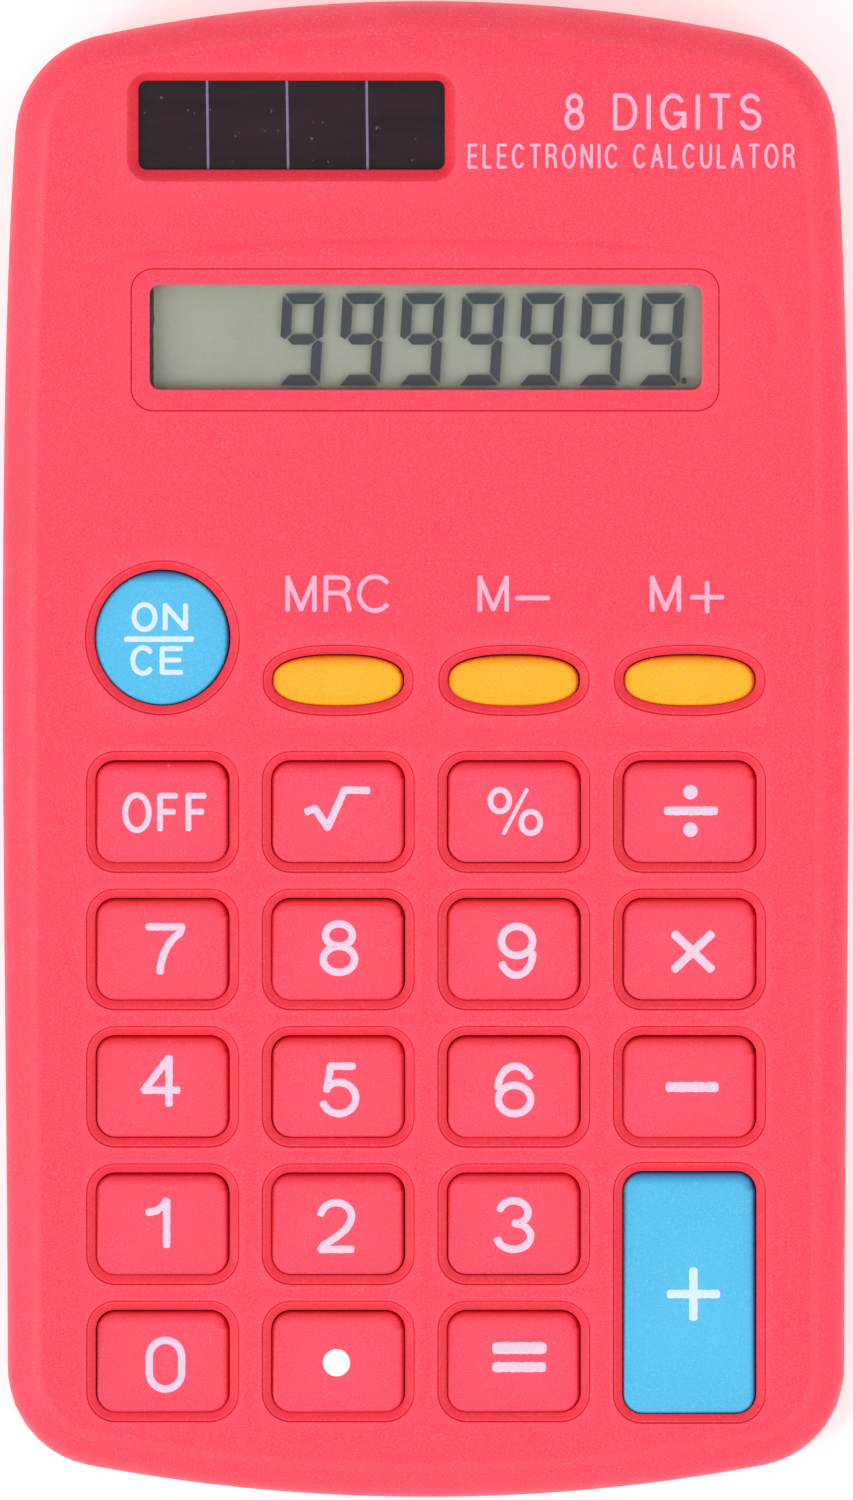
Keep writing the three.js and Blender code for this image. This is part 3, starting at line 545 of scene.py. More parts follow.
# %% [markdown]
# ## The front cover
# On the real case this is one red moulding. Each key hole has a rim: a band that slopes down into the hole, with a
# crisp little step round it. We describe the rim as a list of (how far out, how deep, and a tag that paints shade
# below 0 and wear with a highlight above 0) and let the ring builder do the rest. The upper edge of the case is a
# short slope with a soft shoulder that ends in a rounding.

# %% Rims and cells of the cover
# The tags paint shade down the wall, over the sloped band and in the step, and put wear with a painted highlight
# (0.4) where the rim meets the face.
KEY_RIM = [(0, 1.9, 0), (0, 1.2, 0), (0, 0.62, 0), (0.015, 0.50, -.2), (0.05, 0.45, -.5), (0.12, 0.41, -.5),
           (0.30, 0.34, -.45), (0.50, 0.26, -.4), (0.58, 0.23, 0), (0.64, 0.215, 0), (0.68, 0.20, -1),
           (0.725, 0.06, -1), (0.76, 0.015, -.3), (0.82, 0, .4)]
SPREAD = (0.16, 0.36, 0.66, 1.0)
FACE_INSET = 3.0
# Where the strips of the face meet, from the near end to the far end.
GRID_FAR, MEMORY_FAR, FOLD_FAR, DISPLAY_FAR = 0.54, 17.42, 25.7, 41.4


def holed_cell(hole, rim, xs, ys, tilt, shares=SPREAD):
    """Rings of one cell: the rim list from the foot of the wall to the face, then the spread to the cell's edge."""
    rings = [sunk(*hole(grow).T, depth, tilt, tag) for grow, depth, tag in rim]
    margin = spread(hole(rim[-1][0]), cell_ring(xs, ys, FACE_INSET), shares)
    # The face-side tag, wear with a painted highlight, fades out over the margin.
    fade = rim[-1][2] * (1 - np.minimum(np.asarray(shares) * 1.6, 1))[:, None]
    rings += list(sunk(margin[..., 0], margin[..., 1], 0.0, tilt, fade))
    return sheet(np.stack(rings), closed=True, flip=True)


def flat_cell(xs, ys):
    """A plain cell laid on the face."""
    plan = plain_cell(xs, ys, FACE_INSET)
    return sheet(sunk(plan[..., 0], plan[..., 1], 0.0, 0.0))


column_lines = [np.linspace(k * COLUMN, (k + 1) * COLUMN, ACROSS + 1) for k in range(-2, 2)]
row_lines = [np.linspace(GRID_FAR - (r + 1) * ROW, GRID_FAR - r * ROW, ALONG + 1) for r in range(5)]
tall_row = np.concatenate([row_lines[4], row_lines[3][1:]])
memory_rows = np.linspace(GRID_FAR, MEMORY_FAR, 31)
patches = []
for r, names in enumerate(KEY_ROWS):
    for c, name in enumerate(names):
        patches.append(holed_cell(KEYS[f"key_{name}"]["hole"], KEY_RIM, column_lines[c], row_lines[r], KEYPAD_TILT))
patches.append(holed_cell(KEYS["key_plus"]["hole"], KEY_RIM, column_lines[3], tall_row, KEYPAD_TILT))
patches.append(holed_cell(KEYS["key_on_clear"]["hole"], KEY_RIM, column_lines[0], memory_rows, KEYPAD_TILT))
for c, name in enumerate(("memory_recall", "memory_subtract", "memory_add"), 1):
    patches.append(holed_cell(KEYS[f"key_{name}"]["hole"], KEY_RIM, column_lines[c], memory_rows[:19], KEYPAD_TILT))
    patches.append(flat_cell(column_lines[c], memory_rows[18:]))
print("keypad patches", len(patches))

# %% The display and solar windows
# Tags above 0 at the window's edge: a painted highlight.
LCD_RIM = [(0, 1.05, 0), (0, 0.60, 0), (0, 0.34, 0), (0.012, 0.27, .3), (0.05, 0.225, .8), (0.12, 0.20, .2)]


def lcd_hole(share):
    """From the opening at 0 to the outer line of its frame at 1: place, size and corner all change in step."""
    start, stop = np.array([-0.02, 33.0, 44.2, 8.4, 0.8]), np.array([-0.07, 32.83, 47.06, 11.35, 1.75])
    x, y, width, height, corner = start + (stop - start) * share
    return rounded_loop(x, y, width, height, corner, 4 * ACROSS, 28)


def lcd_cell(xs, ys):
    """The window's wall, the gently sloped frame, a fine groove round it, and the spread over the dip."""
    # The groove's tags paint shade (below 0); just outside it the tags paint a highlight (above 0).
    frame_lines = [(0.35, .15, 0), (0.6, .10, 0), (0.9, .035, 0), (0.945, .03, 0), (0.965, .05, -.4),
                   (0.99, .13, -1), (1.01, .13, -1), (1.035, .03, -.3), (1.06, 0, .6), (1.1, 0, .2)]
    rim = [(grow / 1.45, depth, tag) for grow, depth, tag in LCD_RIM] + frame_lines
    return holed_cell(lcd_hole, rim, xs, ys, DISPLAY_TILT, np.linspace(0, 1, 12)[1:])


# Tags below 0 paint shade down the wall and over the sloped frame; above 0 they put wear with a painted highlight
# where the frame meets the face.
SOLAR_RIM = [(0, 1.25, -.5), (0, 0.98, -.5), (0.012, 0.90, -.4), (0.05, 0.85, -.5), (0.12, 0.79, -.5),
             (0.4, 0.52, -.45), (0.7, 0.24, -.35), (0.84, 0.12, -.2), (0.90, 0.07, 0), (0.945, 0.015, .5),
             (1.0, 0, .3)]


SOLAR_COLUMNS = ACROSS * 5 // 2


def solar_hole(grow):
    """From the glass's opening at 0 to the outer line of its sloped frame at 1."""
    return rounded_loop(-10.75 - 0.02 * grow, 49.85 - 0.03 * grow, 24.5 + 1.98 * grow, 7.1 + 1.76 * grow,
                        0.65 + 1.25 * grow, SOLAR_COLUMNS, 28)


whole_width = np.concatenate([column_lines[0]] + [line[1:] for line in column_lines[1:]])
fold_rows = np.linspace(MEMORY_FAR, FOLD_FAR, 16)
display_rows = np.linspace(FOLD_FAR, DISPLAY_FAR, 29)
crest_rows = np.linspace(DISPLAY_FAR, LENGTH / 2 - FACE_INSET, 29)
patches.append(flat_cell(whole_width, fold_rows))
patches.append(lcd_cell(whole_width, display_rows))
patches.append(holed_cell(solar_hole, SOLAR_RIM, whole_width[:SOLAR_COLUMNS + 1], crest_rows, DISPLAY_TILT,
                          (0.12, 0.25, 0.4, 0.55, 0.7, 0.85, 1.0)))
patches.append(flat_cell(whole_width[SOLAR_COLUMNS:], crest_rows))

# %% The shoulder, the rounded edge and the side wall
PARTING = 6.5
SEAM = 0.08
FRONT_WALL = 0.9
SHOULDER = [(3.0, 0), (2.85, .008), (2.7, .03), (2.55, .07), (2.4, .13), (2.2, .23), (1.9, .40), (1.6, .58),
            (1.3, .78), (1.0, 1.0), (0.75, 1.24), (0.52, 1.52), (0.33, 1.85), (0.18, 2.25), (0.08, 2.65),
            (0.02, 3.1), (0, 3.6)]


def edge_ring(columns, rows, inset):
    """The whole face's border as one ring, with the outline point, normal and distance for each of its points."""
    ring = cell_ring(columns, rows, inset)
    return ring, *nearest_edge(ring[:, 0], ring[:, 1])


whole_length = np.concatenate([tall_row, row_lines[2][1:], row_lines[1][1:], row_lines[0][1:], memory_rows[1:],
                               fold_rows[1:], display_rows[1:], crest_rows[1:]])
ring, edge, normal, inset = edge_ring(whole_width, whole_length, FACE_INSET)
bands = [sunk(*ring.T, 0.0, 0.0)]
for t in np.linspace(0, 1, 6)[1:]:
    spot = edge + normal * (inset * (1 - t) + SHOULDER[0][0] * t)[:, None]
    bands.append(sunk(*spot.T, 0.0, 0.0))
for distance, drop in SHOULDER[1:]:
    spot = edge + normal * distance
    # Between 1.9 and 2.8 mm in, the shoulder carries a pale tag: a painted highlight along it, with some wear.
    level = sunk(*spot.T, 0.0, 0.0, 0.25 if 1.9 < distance < 2.8 else 0.0)
    level[:, 2] -= drop
    bands.append(level)
wall_top = bands[-1]
for share in (0.33, 0.66, 1.0):
    level = wall_top.copy()
    level[:, 2] += (PARTING + SEAM + 0.12 - wall_top[:, 2]) * share
    bands.append(level)
level = level.copy()
level[:, :2] += normal * 0.1
level[:, 2] = PARTING + SEAM
bands.append(level)
patches.append(sheet(np.stack(bands), closed=True, flip=True))
front_cover = make_piece("front_cover_shell", join(patches), red_case, "case", ["front_cover"],
                         sharp=38, thickness=FRONT_WALL)
print("front cover", len(front_cover.data.vertices), "points")

# %% [markdown]
# ## Keys
# Each key is a cap with a flange that keeps it under the cover, all one moulding. One profile serves them all: out
# along the flange, up the side, round a soft edge and in over a slightly dished top. Because the cap follows its
# own hole's loop, the gap round it is even. The caps ride on their own bodies, so each one can be pressed.

# %% Closed bodies from stacked loops
def shrunk(ring, shares):
    """Copies of a ring drawn in towards its own middle, one for each share of its size."""
    middle = ring.mean(0)
    return [middle + (ring - middle) * share for share in shares]


def stacked(rings):
    """Closes a stack of rings, bottom to top, with a pole in the middle of its first and of its last ring."""
    first, last = shrunk(rings[0], (0, 0.5)), shrunk(rings[-1], (0.66, 0.33, 0))
    return sheet(np.stack(first + list(rings) + last), closed=True)


CLEARANCE = 0.07
CAP_DEPTH = 0.78
CAP_LEAN = (0.014, 0.19)
CAP_ROUND = 0.30
DISH = 0.05


def cap_profile():
    """(How far out, how deep) along the flange and up the side, then a quarter circle onto the top."""
    edge = [(-CLEARANCE - CAP_ROUND * (1 - math.cos(t)), CAP_DEPTH + CAP_ROUND * (1 - math.sin(t)))
            for t in np.radians([0, 12, 26, 42, 58, 74, 90])]
    return [(0.7, 2.9), (0.7, 2.1), (-CLEARANCE, 2.1), (-CLEARANCE, 1.5)] + edge


def key_surface(x, y, depth, tag=0.0):
    """The keypad plane without the fold's fillet, lowered by the depth."""
    z = FOLD_Z + (y - FOLD_Y) * math.tan(KEYPAD_TILT) - depth * math.cos(KEYPAD_TILT)
    return np.stack(np.broadcast_arrays(x, y + depth * math.sin(KEYPAD_TILT), z, tag), -1)


def play(key):
    """Each cap lies a few hundredths of a millimetre off centre in its hole, by a sine of its place."""
    x, y = key["x"], key["y"]
    return np.array([-0.01, -0.05]) + 0.03 * np.array([math.sin(1.7 * x + 0.9 * y), math.sin(0.8 * x + 2.1 * y)])


def cap_lean(key, x, y):
    """Caps stand nearly level while the face slopes, so their far and right edges lie a little deeper."""
    half = np.ptp(key["hole"](0.0)[:, 1]) / 2
    return (x - key["x"]) * CAP_LEAN[0] + (y - key["y"]) / half * CAP_LEAN[1] * min(1.0, half / 4)


def shaded_edge(key, x, y):
    """Painted shade on the cap, from 0 to -1: a soft band along its far edge and a thinner one along its right edge.
    """
    rim = key["hole"](-CLEARANCE)
    far = rim[:, 1].max() - y
    right = rim[:, 0].max() - x
    corner = np.hypot(np.maximum(1.5 - far, 0), np.maximum(1.5 - right, 0)) - 1.5
    far_band = np.where((far < 1.5) & (right < 1.5), -corner, np.minimum(far, 1.5))
    side = np.clip((1.5 - right) / 1.5, 0, 1)
    return -np.clip(1.0 - far_band / 1.05, 0, 1) * (1 - 0.35 * side) - 0.8 * np.clip(1.0 - right / 0.5, 0, 1)


def cap_patch(key):
    """The profile carried round the hole's loop, then the loop shrinks to the middle while the top dips a little."""
    shift = play(key)
    rings = []
    for grow, depth in cap_profile():
        loop = key["hole"](grow) + shift
        lean = cap_lean(key, *loop.T) if depth < 1.6 else 0.0
        # Lower down the side and on the flange the cap gets extra painted shade.
        low = -0.5 if depth > CAP_DEPTH + 0.35 else 0.0
        rings.append(key_surface(*loop.T, depth + lean, np.clip(shaded_edge(key, *loop.T) + low, -1, 0)))
    rim = key["hole"](-CLEARANCE - CAP_ROUND) + shift
    centre = np.array([key["x"], key["y"]]) + shift
    # The top: wear towards the middle, painted shade along the far and right edges.
    for share in (0.985, 0.96, 0.93, 0.90, 0.86, 0.81, 0.75, 0.55, 0.3, 0.0):
        loop = centre + (rim - centre) * share
        depth = CAP_DEPTH + DISH * (1 - share ** 2) + cap_lean(key, *loop.T)
        rings.append(key_surface(*loop.T, depth, 0.3 * (1 - share) + np.clip(shaded_edge(key, *loop.T), -1, 0)))
    return sheet(np.stack(shrunk(rings[0], (0,)) + rings), closed=True)


COLOURS = {"red_key": red_key, "blue_key": blue_key, "yellow_key": yellow_key}
for name, key in KEYS.items():
    make_piece(f"{name}_cap", cap_patch(key), COLOURS[key["colour"]], name, [name], sharp=50)
print("caps", len(KEYS))

# %% [markdown]
# ## Printed legends
# The legends are pad printed: a thin layer of pale ink, slightly raised, with round ends and edges that are never
# quite straight. Text objects would give outlines that are too sharp, so each sign is drawn here as pen strokes. A
# stroke is a path, and a low arched profile carried along it.

# %% A stroke of ink
def arc(cx, cy, rx, ry, start, end, steps=24):
    """Part of an ellipse, from one angle in degrees to another."""
    a = np.radians(np.linspace(start, end, steps))
    return np.stack([cx + rx * np.cos(a), cy + ry * np.sin(a)], 1)


def ink_stroke(path, width, surface, height, seed):
    """The path is cut into even steps. Across it runs the profile: foot, shoulder, flat top, shoulder, foot. Past
    both ends the half width closes on a squarish curve, and a path that ends where it began becomes a ring. A few
    sines of the length make the edge slightly uneven."""
    path = np.asarray(path, float)
    length = np.concatenate([[0], np.cumsum(np.hypot(*np.diff(path, axis=0).T))])
    count = max(4, int(length[-1] / 0.12) + 2)
    s = np.linspace(0, length[-1], count)
    line = np.stack([np.interp(s, length, path[:, 0]), np.interp(s, length, path[:, 1])], 1)
    tangent = np.gradient(line, axis=0)
    is_ring = np.hypot(*(path[0] - path[-1])) < 1e-6
    if is_ring:
        tangent[[0, -1]] = line[1] - line[-2]
    tangent /= np.hypot(*tangent.T)[:, None]
    half = width / 2
    swell, run = np.ones(count), s
    if not is_ring:
        a = np.radians([90, 74, 52, 26])
        ends = 0.72 * half * np.sin(a)[:, None]
        line = np.concatenate([line[0] - tangent[0] * ends, line, line[-1] + tangent[-1] * ends[::-1]])
        tangent = np.concatenate([tangent[:1].repeat(4, 0), tangent, tangent[-1:].repeat(4, 0)])
        taper = np.cos(a) ** 0.6
        taper[0] = 0
        swell = np.concatenate([taper, np.ones(count), taper[::-1]])
        run = np.concatenate([-ends[:, 0], s, s[-1] + ends[::-1, 0]])
    ragged = 1 + 0.03 * np.sin(5.1 * run + seed) + 0.03 * np.sin(11.7 * run + 2.3 * seed)
    if is_ring:
        ragged = np.ones(count)
    side = np.stack([-tangent[:, 1], tangent[:, 0]], 1)
    across = np.array([0, 1.0, 0.9, 0.72, 0, -0.72, -0.9, -1])
    rise = np.array([-0.4, 0, 0.7, 1, 1.0, 1, 0.7, 0])
    plan = line[:, None] + side[:, None] * (across * half)[None, :, None] * (swell * ragged)[:, None, None]
    lift = height * rise[None] * np.minimum(swell * 1.6, 1)[:, None] + 0.0006 * (seed % 5)
    points = surface(plan[..., 0], plan[..., 1])[..., :3]
    points[..., 2] += lift
    if is_ring:
        points[-1] = points[0]
    else:
        points[[0, -1]] = points[[0, -1]].mean(1, keepdims=True)
    return sheet(points, closed=True)


# %% The signs, as strokes in a unit square
def bar(*points):
    """A path of straight runs through the given points."""
    return np.array(points, float)


GLYPHS = {
    "0": [np.concatenate([arc(.5, .66, .5, .34, 0, 180), arc(.5, .34, .5, .34, 180, 360), [[1, .66]]])],
    "1": [bar((0, .74), (.4, .77), (.75, .86), (1, 1)), bar((1, 1), (1, 0))],
    "2": [np.concatenate([arc(.5, .71, .5, .29, 170, -25), bar((.8, .42), (.45, .24), (.12, .1), (0, 0))]),
          bar((0, 0), (1, 0))],
    "3": [arc(.48, .76, .44, .24, 165, -80), arc(.48, .27, .52, .27, 88, -165)],
    "4": [bar((.74, 1), (0, .3)), bar((0, .3), (1, .3)), bar((.74, 1), (.74, 0))],
    "5": [bar((.92, 1), (.2, 1)), bar((.2, 1), (.08, .5)), arc(.47, .33, .53, .33, 138, -160)],
    "6": [arc(.5, .30, .5, .30, 0, 360), arc(.52, .55, .52, .45, 180, 30)],
    "7": [bar((0, 1), (1, 1)), np.concatenate([bar((1, 1)), arc(1.35, -.1, 1.0, 1.05, 115, 175)])],
    "8": [arc(.5, .77, .43, .23, 0, 360), arc(.5, .27, .5, .27, 0, 360)],
    "9": [arc(.5, .70, .5, .30, 0, 360), arc(.48, .45, .52, .45, 0, -150)],
    "A": [bar((0, 0), (.5, 1)), bar((.5, 1), (1, 0)), bar((.2, .36), (.8, .36))],
    "C": [arc(.53, .5, .53, .5, 42, 318)],
    "D": [bar((0, 0), (0, 1)), np.concatenate([bar((0, 1)), arc(.45, .5, .55, .5, 90, -90), bar((0, 0))])],
    "E": [bar((0, 0), (0, 1)), bar((0, 1), (1, 1)), bar((0, .52), (.92, .52)), bar((0, 0), (1, 0))],
    "F": [bar((0, 0), (0, 1)), bar((0, 1), (1, 1)), bar((0, .52), (.86, .52))],
    "G": [arc(.5, .5, .5, .5, 42, 335), bar((.58, .45), (1, .45)), bar((1, .45), (1, .05))],
    "I": [bar((.5, 0), (.5, 1))],
    "L": [bar((0, 1), (0, 0)), bar((0, 0), (1, 0))],
    "M": [bar((0, 0), (0, 1)), bar((0, 1), (.5, .02)), bar((.5, .02), (1, 1)), bar((1, 1), (1, 0))],
    "N": [bar((0, 0), (0, 1)), bar((0, 1), (1, 0)), bar((1, 0), (1, 1))],
    "O": [arc(.5, .5, .5, .5, 0, 360, 40)],
    "R": [bar((0, 0), (0, 1)), np.concatenate([bar((0, 1)), arc(.6, .76, .36, .24, 90, -90), bar((0, .52))]),
          np.concatenate([bar((.6, .52)), arc(.58, .2, .36, .3, 62, 0), bar((1, 0))])],
    "S": [np.concatenate([arc(.5, .76, .46, .24, 25, 180)[:-1], arc(.5, .76, .46, .24, 180, 255),
                          arc(.5, .26, .5, .26, 75, 0)[:-1], arc(.5, .26, .5, .26, 0, -165)])],
    "T": [bar((0, 1), (1, 1)), bar((.5, 1), (.5, 0))],
    "U": [np.concatenate([bar((0, 1)), arc(.5, .34, .5, .34, 180, 360), bar((1, 1))])],
    "+": [bar((0, .5), (1, .5)), bar((.5, 0), (.5, 1))],
    "-": [bar((0, .5), (1, .5))],
    "x": [bar((0, 0), (1, 1)), bar((0, 1), (1, 0))],
    "root": [bar((0, .42), (.13, .5)), bar((.13, .5), (.34, 0)), bar((.34, 0), (.62, 1)), bar((.62, 1), (1, .98))],
    "%": [arc(.19, .75, .19, .25, 0, 360), arc(.81, .25, .19, .25, 0, 360), bar((.27, 0), (.73, 1))],
}
PERCENT_SLASH = 0.72
print(len(GLYPHS), "signs")


def sign_patches(sign, box, width, surface, height=0.035, seed=1):
    """All strokes of a sign, stretched so that its ink fills the box (left, right, low, high)."""
    left, right, low, high = box
    start = np.array([left + width / 2, low + width / 2])
    size = np.array([right - left - width, high - low - width])
    widths = [width * (PERCENT_SLASH if sign == "%" and i == 2 else 1) for i in range(len(GLYPHS[sign]))]
    return [ink_stroke(start + path * size, widths[i], surface, height, seed + i)
            for i, path in enumerate(GLYPHS[sign])]


# %% [markdown]
# The ink is the same pale paint everywhere, but it looks pinker on red and cooler on blue, because a thin layer
# lets some of the plastic through. Instead of a see-through ink we mix a little of the ground colour into it.

# %% Inks
def printing_ink(name, colour, ground):
    """Pale paint with a mottled cover: where the layer is thin a little of the ground shows."""
    material, tree, shader = new_finish(name)
    thin = ramp(tree, noise(tree, 5200, 3, 0.65), [(0.40, 0.0), (0.75, 0.40)])
    tree.links.new(blend_colours(tree, thin, colour, ground), shader.inputs["Base Color"])
    shader.inputs["Roughness"].default_value = 0.55
    bump(tree, shader, [(noise(tree, 7000, 2), 0.008, 0.5)])
    return material


ink_on_red = printing_ink("ink_on_red", (0.80, 0.60, 0.76), (0.85, 0.30, 0.42))
ink_on_blue = printing_ink("ink_on_blue", (0.66, 0.80, 0.92), (0.36, 0.66, 0.86))
ink_white = printing_ink("ink_white", (0.96, 0.93, 0.95), (0.95, 0.6, 0.7))
ink_case = printing_ink("ink_on_case", (0.90, 0.42, 0.58), (0.90, 0.20, 0.30))

# %% Legends on the keys
LEGENDS = {
    "key_off": [("O", (-24.35, -21.98, -6.70, -3.41)), ("F", (-21.55, -19.80, -6.62, -3.47)),
                ("F", (-19.28, -17.53, -6.62, -3.47))],
    "key_square_root": [("root", (-9.83, -4.37, -6.54, -2.93))],
    "key_percent": [("%", (4.93, 9.39, -6.94, -3.0))],
    "key_divide": [("-", (18.97, 23.51, -5.27, -4.57))],
    "key_7": [("7", (-22.58, -19.26, -18.09, -13.92))], "key_8": [("8", (-8.54, -5.41, -18.17, -13.68))],
    "key_9": [("9", (5.74, 8.86, -18.39, -13.88))], "key_multiply": [("x", (19.6, 23.2, -17.93, -14.48))],
    "key_4": [("4", (-22.9, -19.6, -28.73, -24.42))], "key_5": [("5", (-8.46, -5.33, -29.5, -25.1))],
    "key_6": [("6", (5.5, 8.7, -29.5, -25.1))], "key_minus": [("-", (19.1, 23.6, -27.47, -26.67))],
    "key_1": [("1", (-22.58, -20.5, -40.07, -35.9))], "key_2": [("2", (-8.74, -5.66, -40.39, -36.05))],
    "key_3": [("3", (5.5, 8.7, -40.39, -35.9))], "key_0": [("0", (-22.5, -19.3, -51.6, -47.1))],
    "key_equals": [("-", (5.17, 9.83, -48.5, -47.55)), ("-", (5.2, 9.75, -49.95, -49.15))],
    "key_plus": [("+", (19.21, 23.71, -45.93, -41.43))],
    "key_on_clear": [("O", (-23.6, -21.5, 9.42, 11.83)), ("N", (-21.1, -19.05, 9.48, 11.78)),
                     ("C", (-23.7, -21.75, 5.9, 8.38)), ("E", (-21.35, -19.4, 5.98, 8.3)),
                     ("-", (-24.26, -18.5, 8.62, 9.08))],
}
STROKES = {"key_off": 0.48, "key_square_root": 0.6, "key_percent": 0.46, "key_divide": 0.7, "key_multiply": 0.68,
           "key_plus": 0.69, "key_on_clear": 0.42}
DOTS = {"key_divide": [(21.2, -3.42, 0.59), (21.2, -6.42, 0.59)], "key_point": [(-7.18, -49.2, 1.09)]}


def on_cap(key):
    """The top of a key as a surface: the same dish and lean as its cap, followed from the middle outwards."""
    reach = np.ptp(key["hole"](0.0), axis=0) / 2

    def surface(x, y):
        """Height of the cap's top, sunk a hair so that the ink has no gap under it."""
        share = np.minimum(((x - key["x"]) / reach[0]) ** 2 + ((y - key["y"]) / reach[1]) ** 2, 1)
        return key_surface(x, y, CAP_DEPTH + DISH * (1 - share) + cap_lean(key, x, y) - 0.004)
    return surface


def ink_dot(x, y, radius, surface, height=0.035):
    """A round spot of ink: rings that step in and up from a foot to a flat top."""
    rings = []
    for share, rise in ((1.0, -0.4), (1.0, 0.0), (0.94, 0.75), (0.86, 1.0), (0.45, 1.0)):
        ring = surface(*oval_loop(x, y, 2 * radius * share, 2 * radius * share, 2, 12, 12).T)[..., :3]
        ring[:, 2] += height * rise
        rings.append(ring)
    return stacked(rings)


for name, key in KEYS.items():
    strokes, top = [], on_cap(key)
    for i, (sign, box) in enumerate(LEGENDS.get(name, [])):
        width = box[3] - box[2] if sign == "-" else STROKES.get(name, 0.60)
        strokes += sign_patches(sign, box, width, top, seed=3 * i + len(name))
    strokes += [ink_dot(x, y, radius, top) for x, y, radius in DOTS.get(name, [])]
    ink = {"key_plus": ink_on_blue, "key_on_clear": ink_on_blue, "key_point": ink_white}.get(name, ink_on_red)
    if strokes:
        make_piece(f"{name}_legend", join(strokes), ink, name, sharp=60)
print("legends", len(LEGENDS) + 1)


# %% Lettering on the case
LETTER_WIDTHS = {"I": 0.16, "L": 0.56, "E": 0.60, "T": 0.66, "F": 0.6, "M": 0.86, "8": 0.6, "S": 0.66, "A": 0.74,
                 "R": 0.68, "U": 0.7, "N": 0.72, "C": 0.76, "O": 0.82, "D": 0.74, "G": 0.8, " ": 0.34}


def line_of_text(text, left, right, low, high, width, gap=0.26):
    """Letter boxes side by side, each as wide as its share of the whole line."""
    shares = np.array([LETTER_WIDTHS[letter] for letter in text])
    steps = np.cumsum(np.concatenate([[0], shares + gap]))
    fit = (right - left) / (steps[-1] - gap)
    patches = []
    for i, letter in enumerate(text):
        if letter != " ":
            start = left + steps[i] * fit
            box = (start, start + max(shares[i] * fit, width * 1.02), low, high)
            patches += sign_patches(letter, box, width, face_height_points, 0.03, seed=i)
    return patches


def face_height_points(x, y):
    """The face of the case as a surface for strokes."""
    return sunk(x, y, 0.0, 0.0)


title = line_of_text("8 DIGITS", 11.07, 26.83, 49.55, 52.5, 0.36)
title += line_of_text("ELECTRONIC CALCULATOR", 3.33, 29.5, 46.5, 48.5, 0.24)
make_piece("title_print", join(title), ink_case, "case", sharp=60)
labels = []
for sign, box in (("M", (-11.27, -8.75, 11.03, 14.03)), ("R", (-8.2, -5.95, 11.03, 14.03)),
                  ("C", (-5.55, -2.77, 10.98, 14.08)), ("M", (4.13, 6.65, 11.03, 14.03)),
                  ("-", (7.1, 9.99, 12.0, 12.36)), ("M", (17.93, 20.45, 11.03, 14.03)),
                  ("+", (21.1, 23.94, 10.9, 13.6))):
    labels += sign_patches(sign, box, 0.38, face_height_points, 0.03, seed=len(labels))
make_piece("memory_labels_print", join(labels), ink_case, "case", sharp=60)

# %% [markdown]
# ## The liquid crystal display
# A display of this kind is a sandwich: a polariser film in front, glass with the crystal between two plates, and a
# grey-green reflector behind. The dark segments float above the reflector and throw a soft shadow on it, which is
# what makes it look like a real display and not like print. So the segments are solid plates with a small air gap
# under them, and the film in front is nearly clear. Their shadow is also painted: a grey, half see-through copy of
# the segments, a little larger and shifted, lies just above the reflector.

# %% Reflector, glass and film
def under_display(x, y, depth):
    """Points at a depth below the display plane, without the dip."""
    z = face_height(x, y, dip=False) - depth * math.cos(DISPLAY_TILT)
    return np.stack([x, y + depth * math.sin(DISPLAY_TILT), z], 1)


def display_loop(left, right, low, high, corner, depth):
    """A rounded rectangle at a depth below the display plane."""
    loop = rounded_loop((left + right) / 2, (low + high) / 2, right - left, high - low, corner, 24, 12, 2)
    return under_display(*loop.T, depth)


def plate(left, right, low, high, corner, top, bottom, bevel=0.04):
    """A flat plate with a small chamfer, as a stack of loops from its underside to its top."""
    return stacked([display_loop(left + g, right - g, low + g, high - g, corner, depth)
                    for g, depth in ((bevel, bottom), (0, bottom - bevel), (0, top + bevel), (bevel, top))])


def reflector_finish():
    """Grey-green with a fine sparkle, and black along the left edge with a ragged border."""
    material, tree, shader = new_finish("lcd_reflector")
    cloud = ramp(tree, noise(tree, 260, 3), [(0.3, (0.275, 0.312, 0.250)), (0.7, (0.310, 0.345, 0.280))])
    grain = ramp(tree, noise(tree, 5600, 2, 0.7), [(0.35, 0.0), (0.7, 0.34)])
    body = blend_colours(tree, grain, cloud, (0.40, 0.44, 0.37))
    ragged = combine(tree, "MULTIPLY", noise(tree, 900, 3, 0.7), 0.00045)
    dark_left_edge = combine(tree, "LESS_THAN", combine(tree, "ADD", object_x(tree), ragged), -0.02158)
    tree.links.new(blend_colours(tree, dark_left_edge, body, (0.004, 0.004, 0.006)), shader.inputs["Base Color"])
    shader.inputs["Roughness"].default_value = 0.5
    shader.inputs["Specular IOR Level"].default_value = 0.3
    bump(tree, shader, [(noise(tree, 5600, 2, 0.7), 0.006, 0.35)])
    return material


def film_finish():
    """A nearly clear glossy film with a faint green tint and tiny scuffs."""
    material, tree, shader = new_finish("lcd_film")
    tint = ramp(tree, noise(tree, 1500, 3), [(0.3, (0.52, 0.56, 0.47)), (0.7, (0.58, 0.61, 0.53))])
    tree.links.new(tint, shader.inputs["Base Color"])
    rough = ramp(tree, noise(tree, 2400, 3), [(0.3, 0.10), (0.7, 0.22)])
    tree.links.new(rough, shader.inputs["Roughness"])
    shader.inputs["Specular IOR Level"].default_value = 0.15
    shader.inputs["Alpha"].default_value = 0.05
    return material


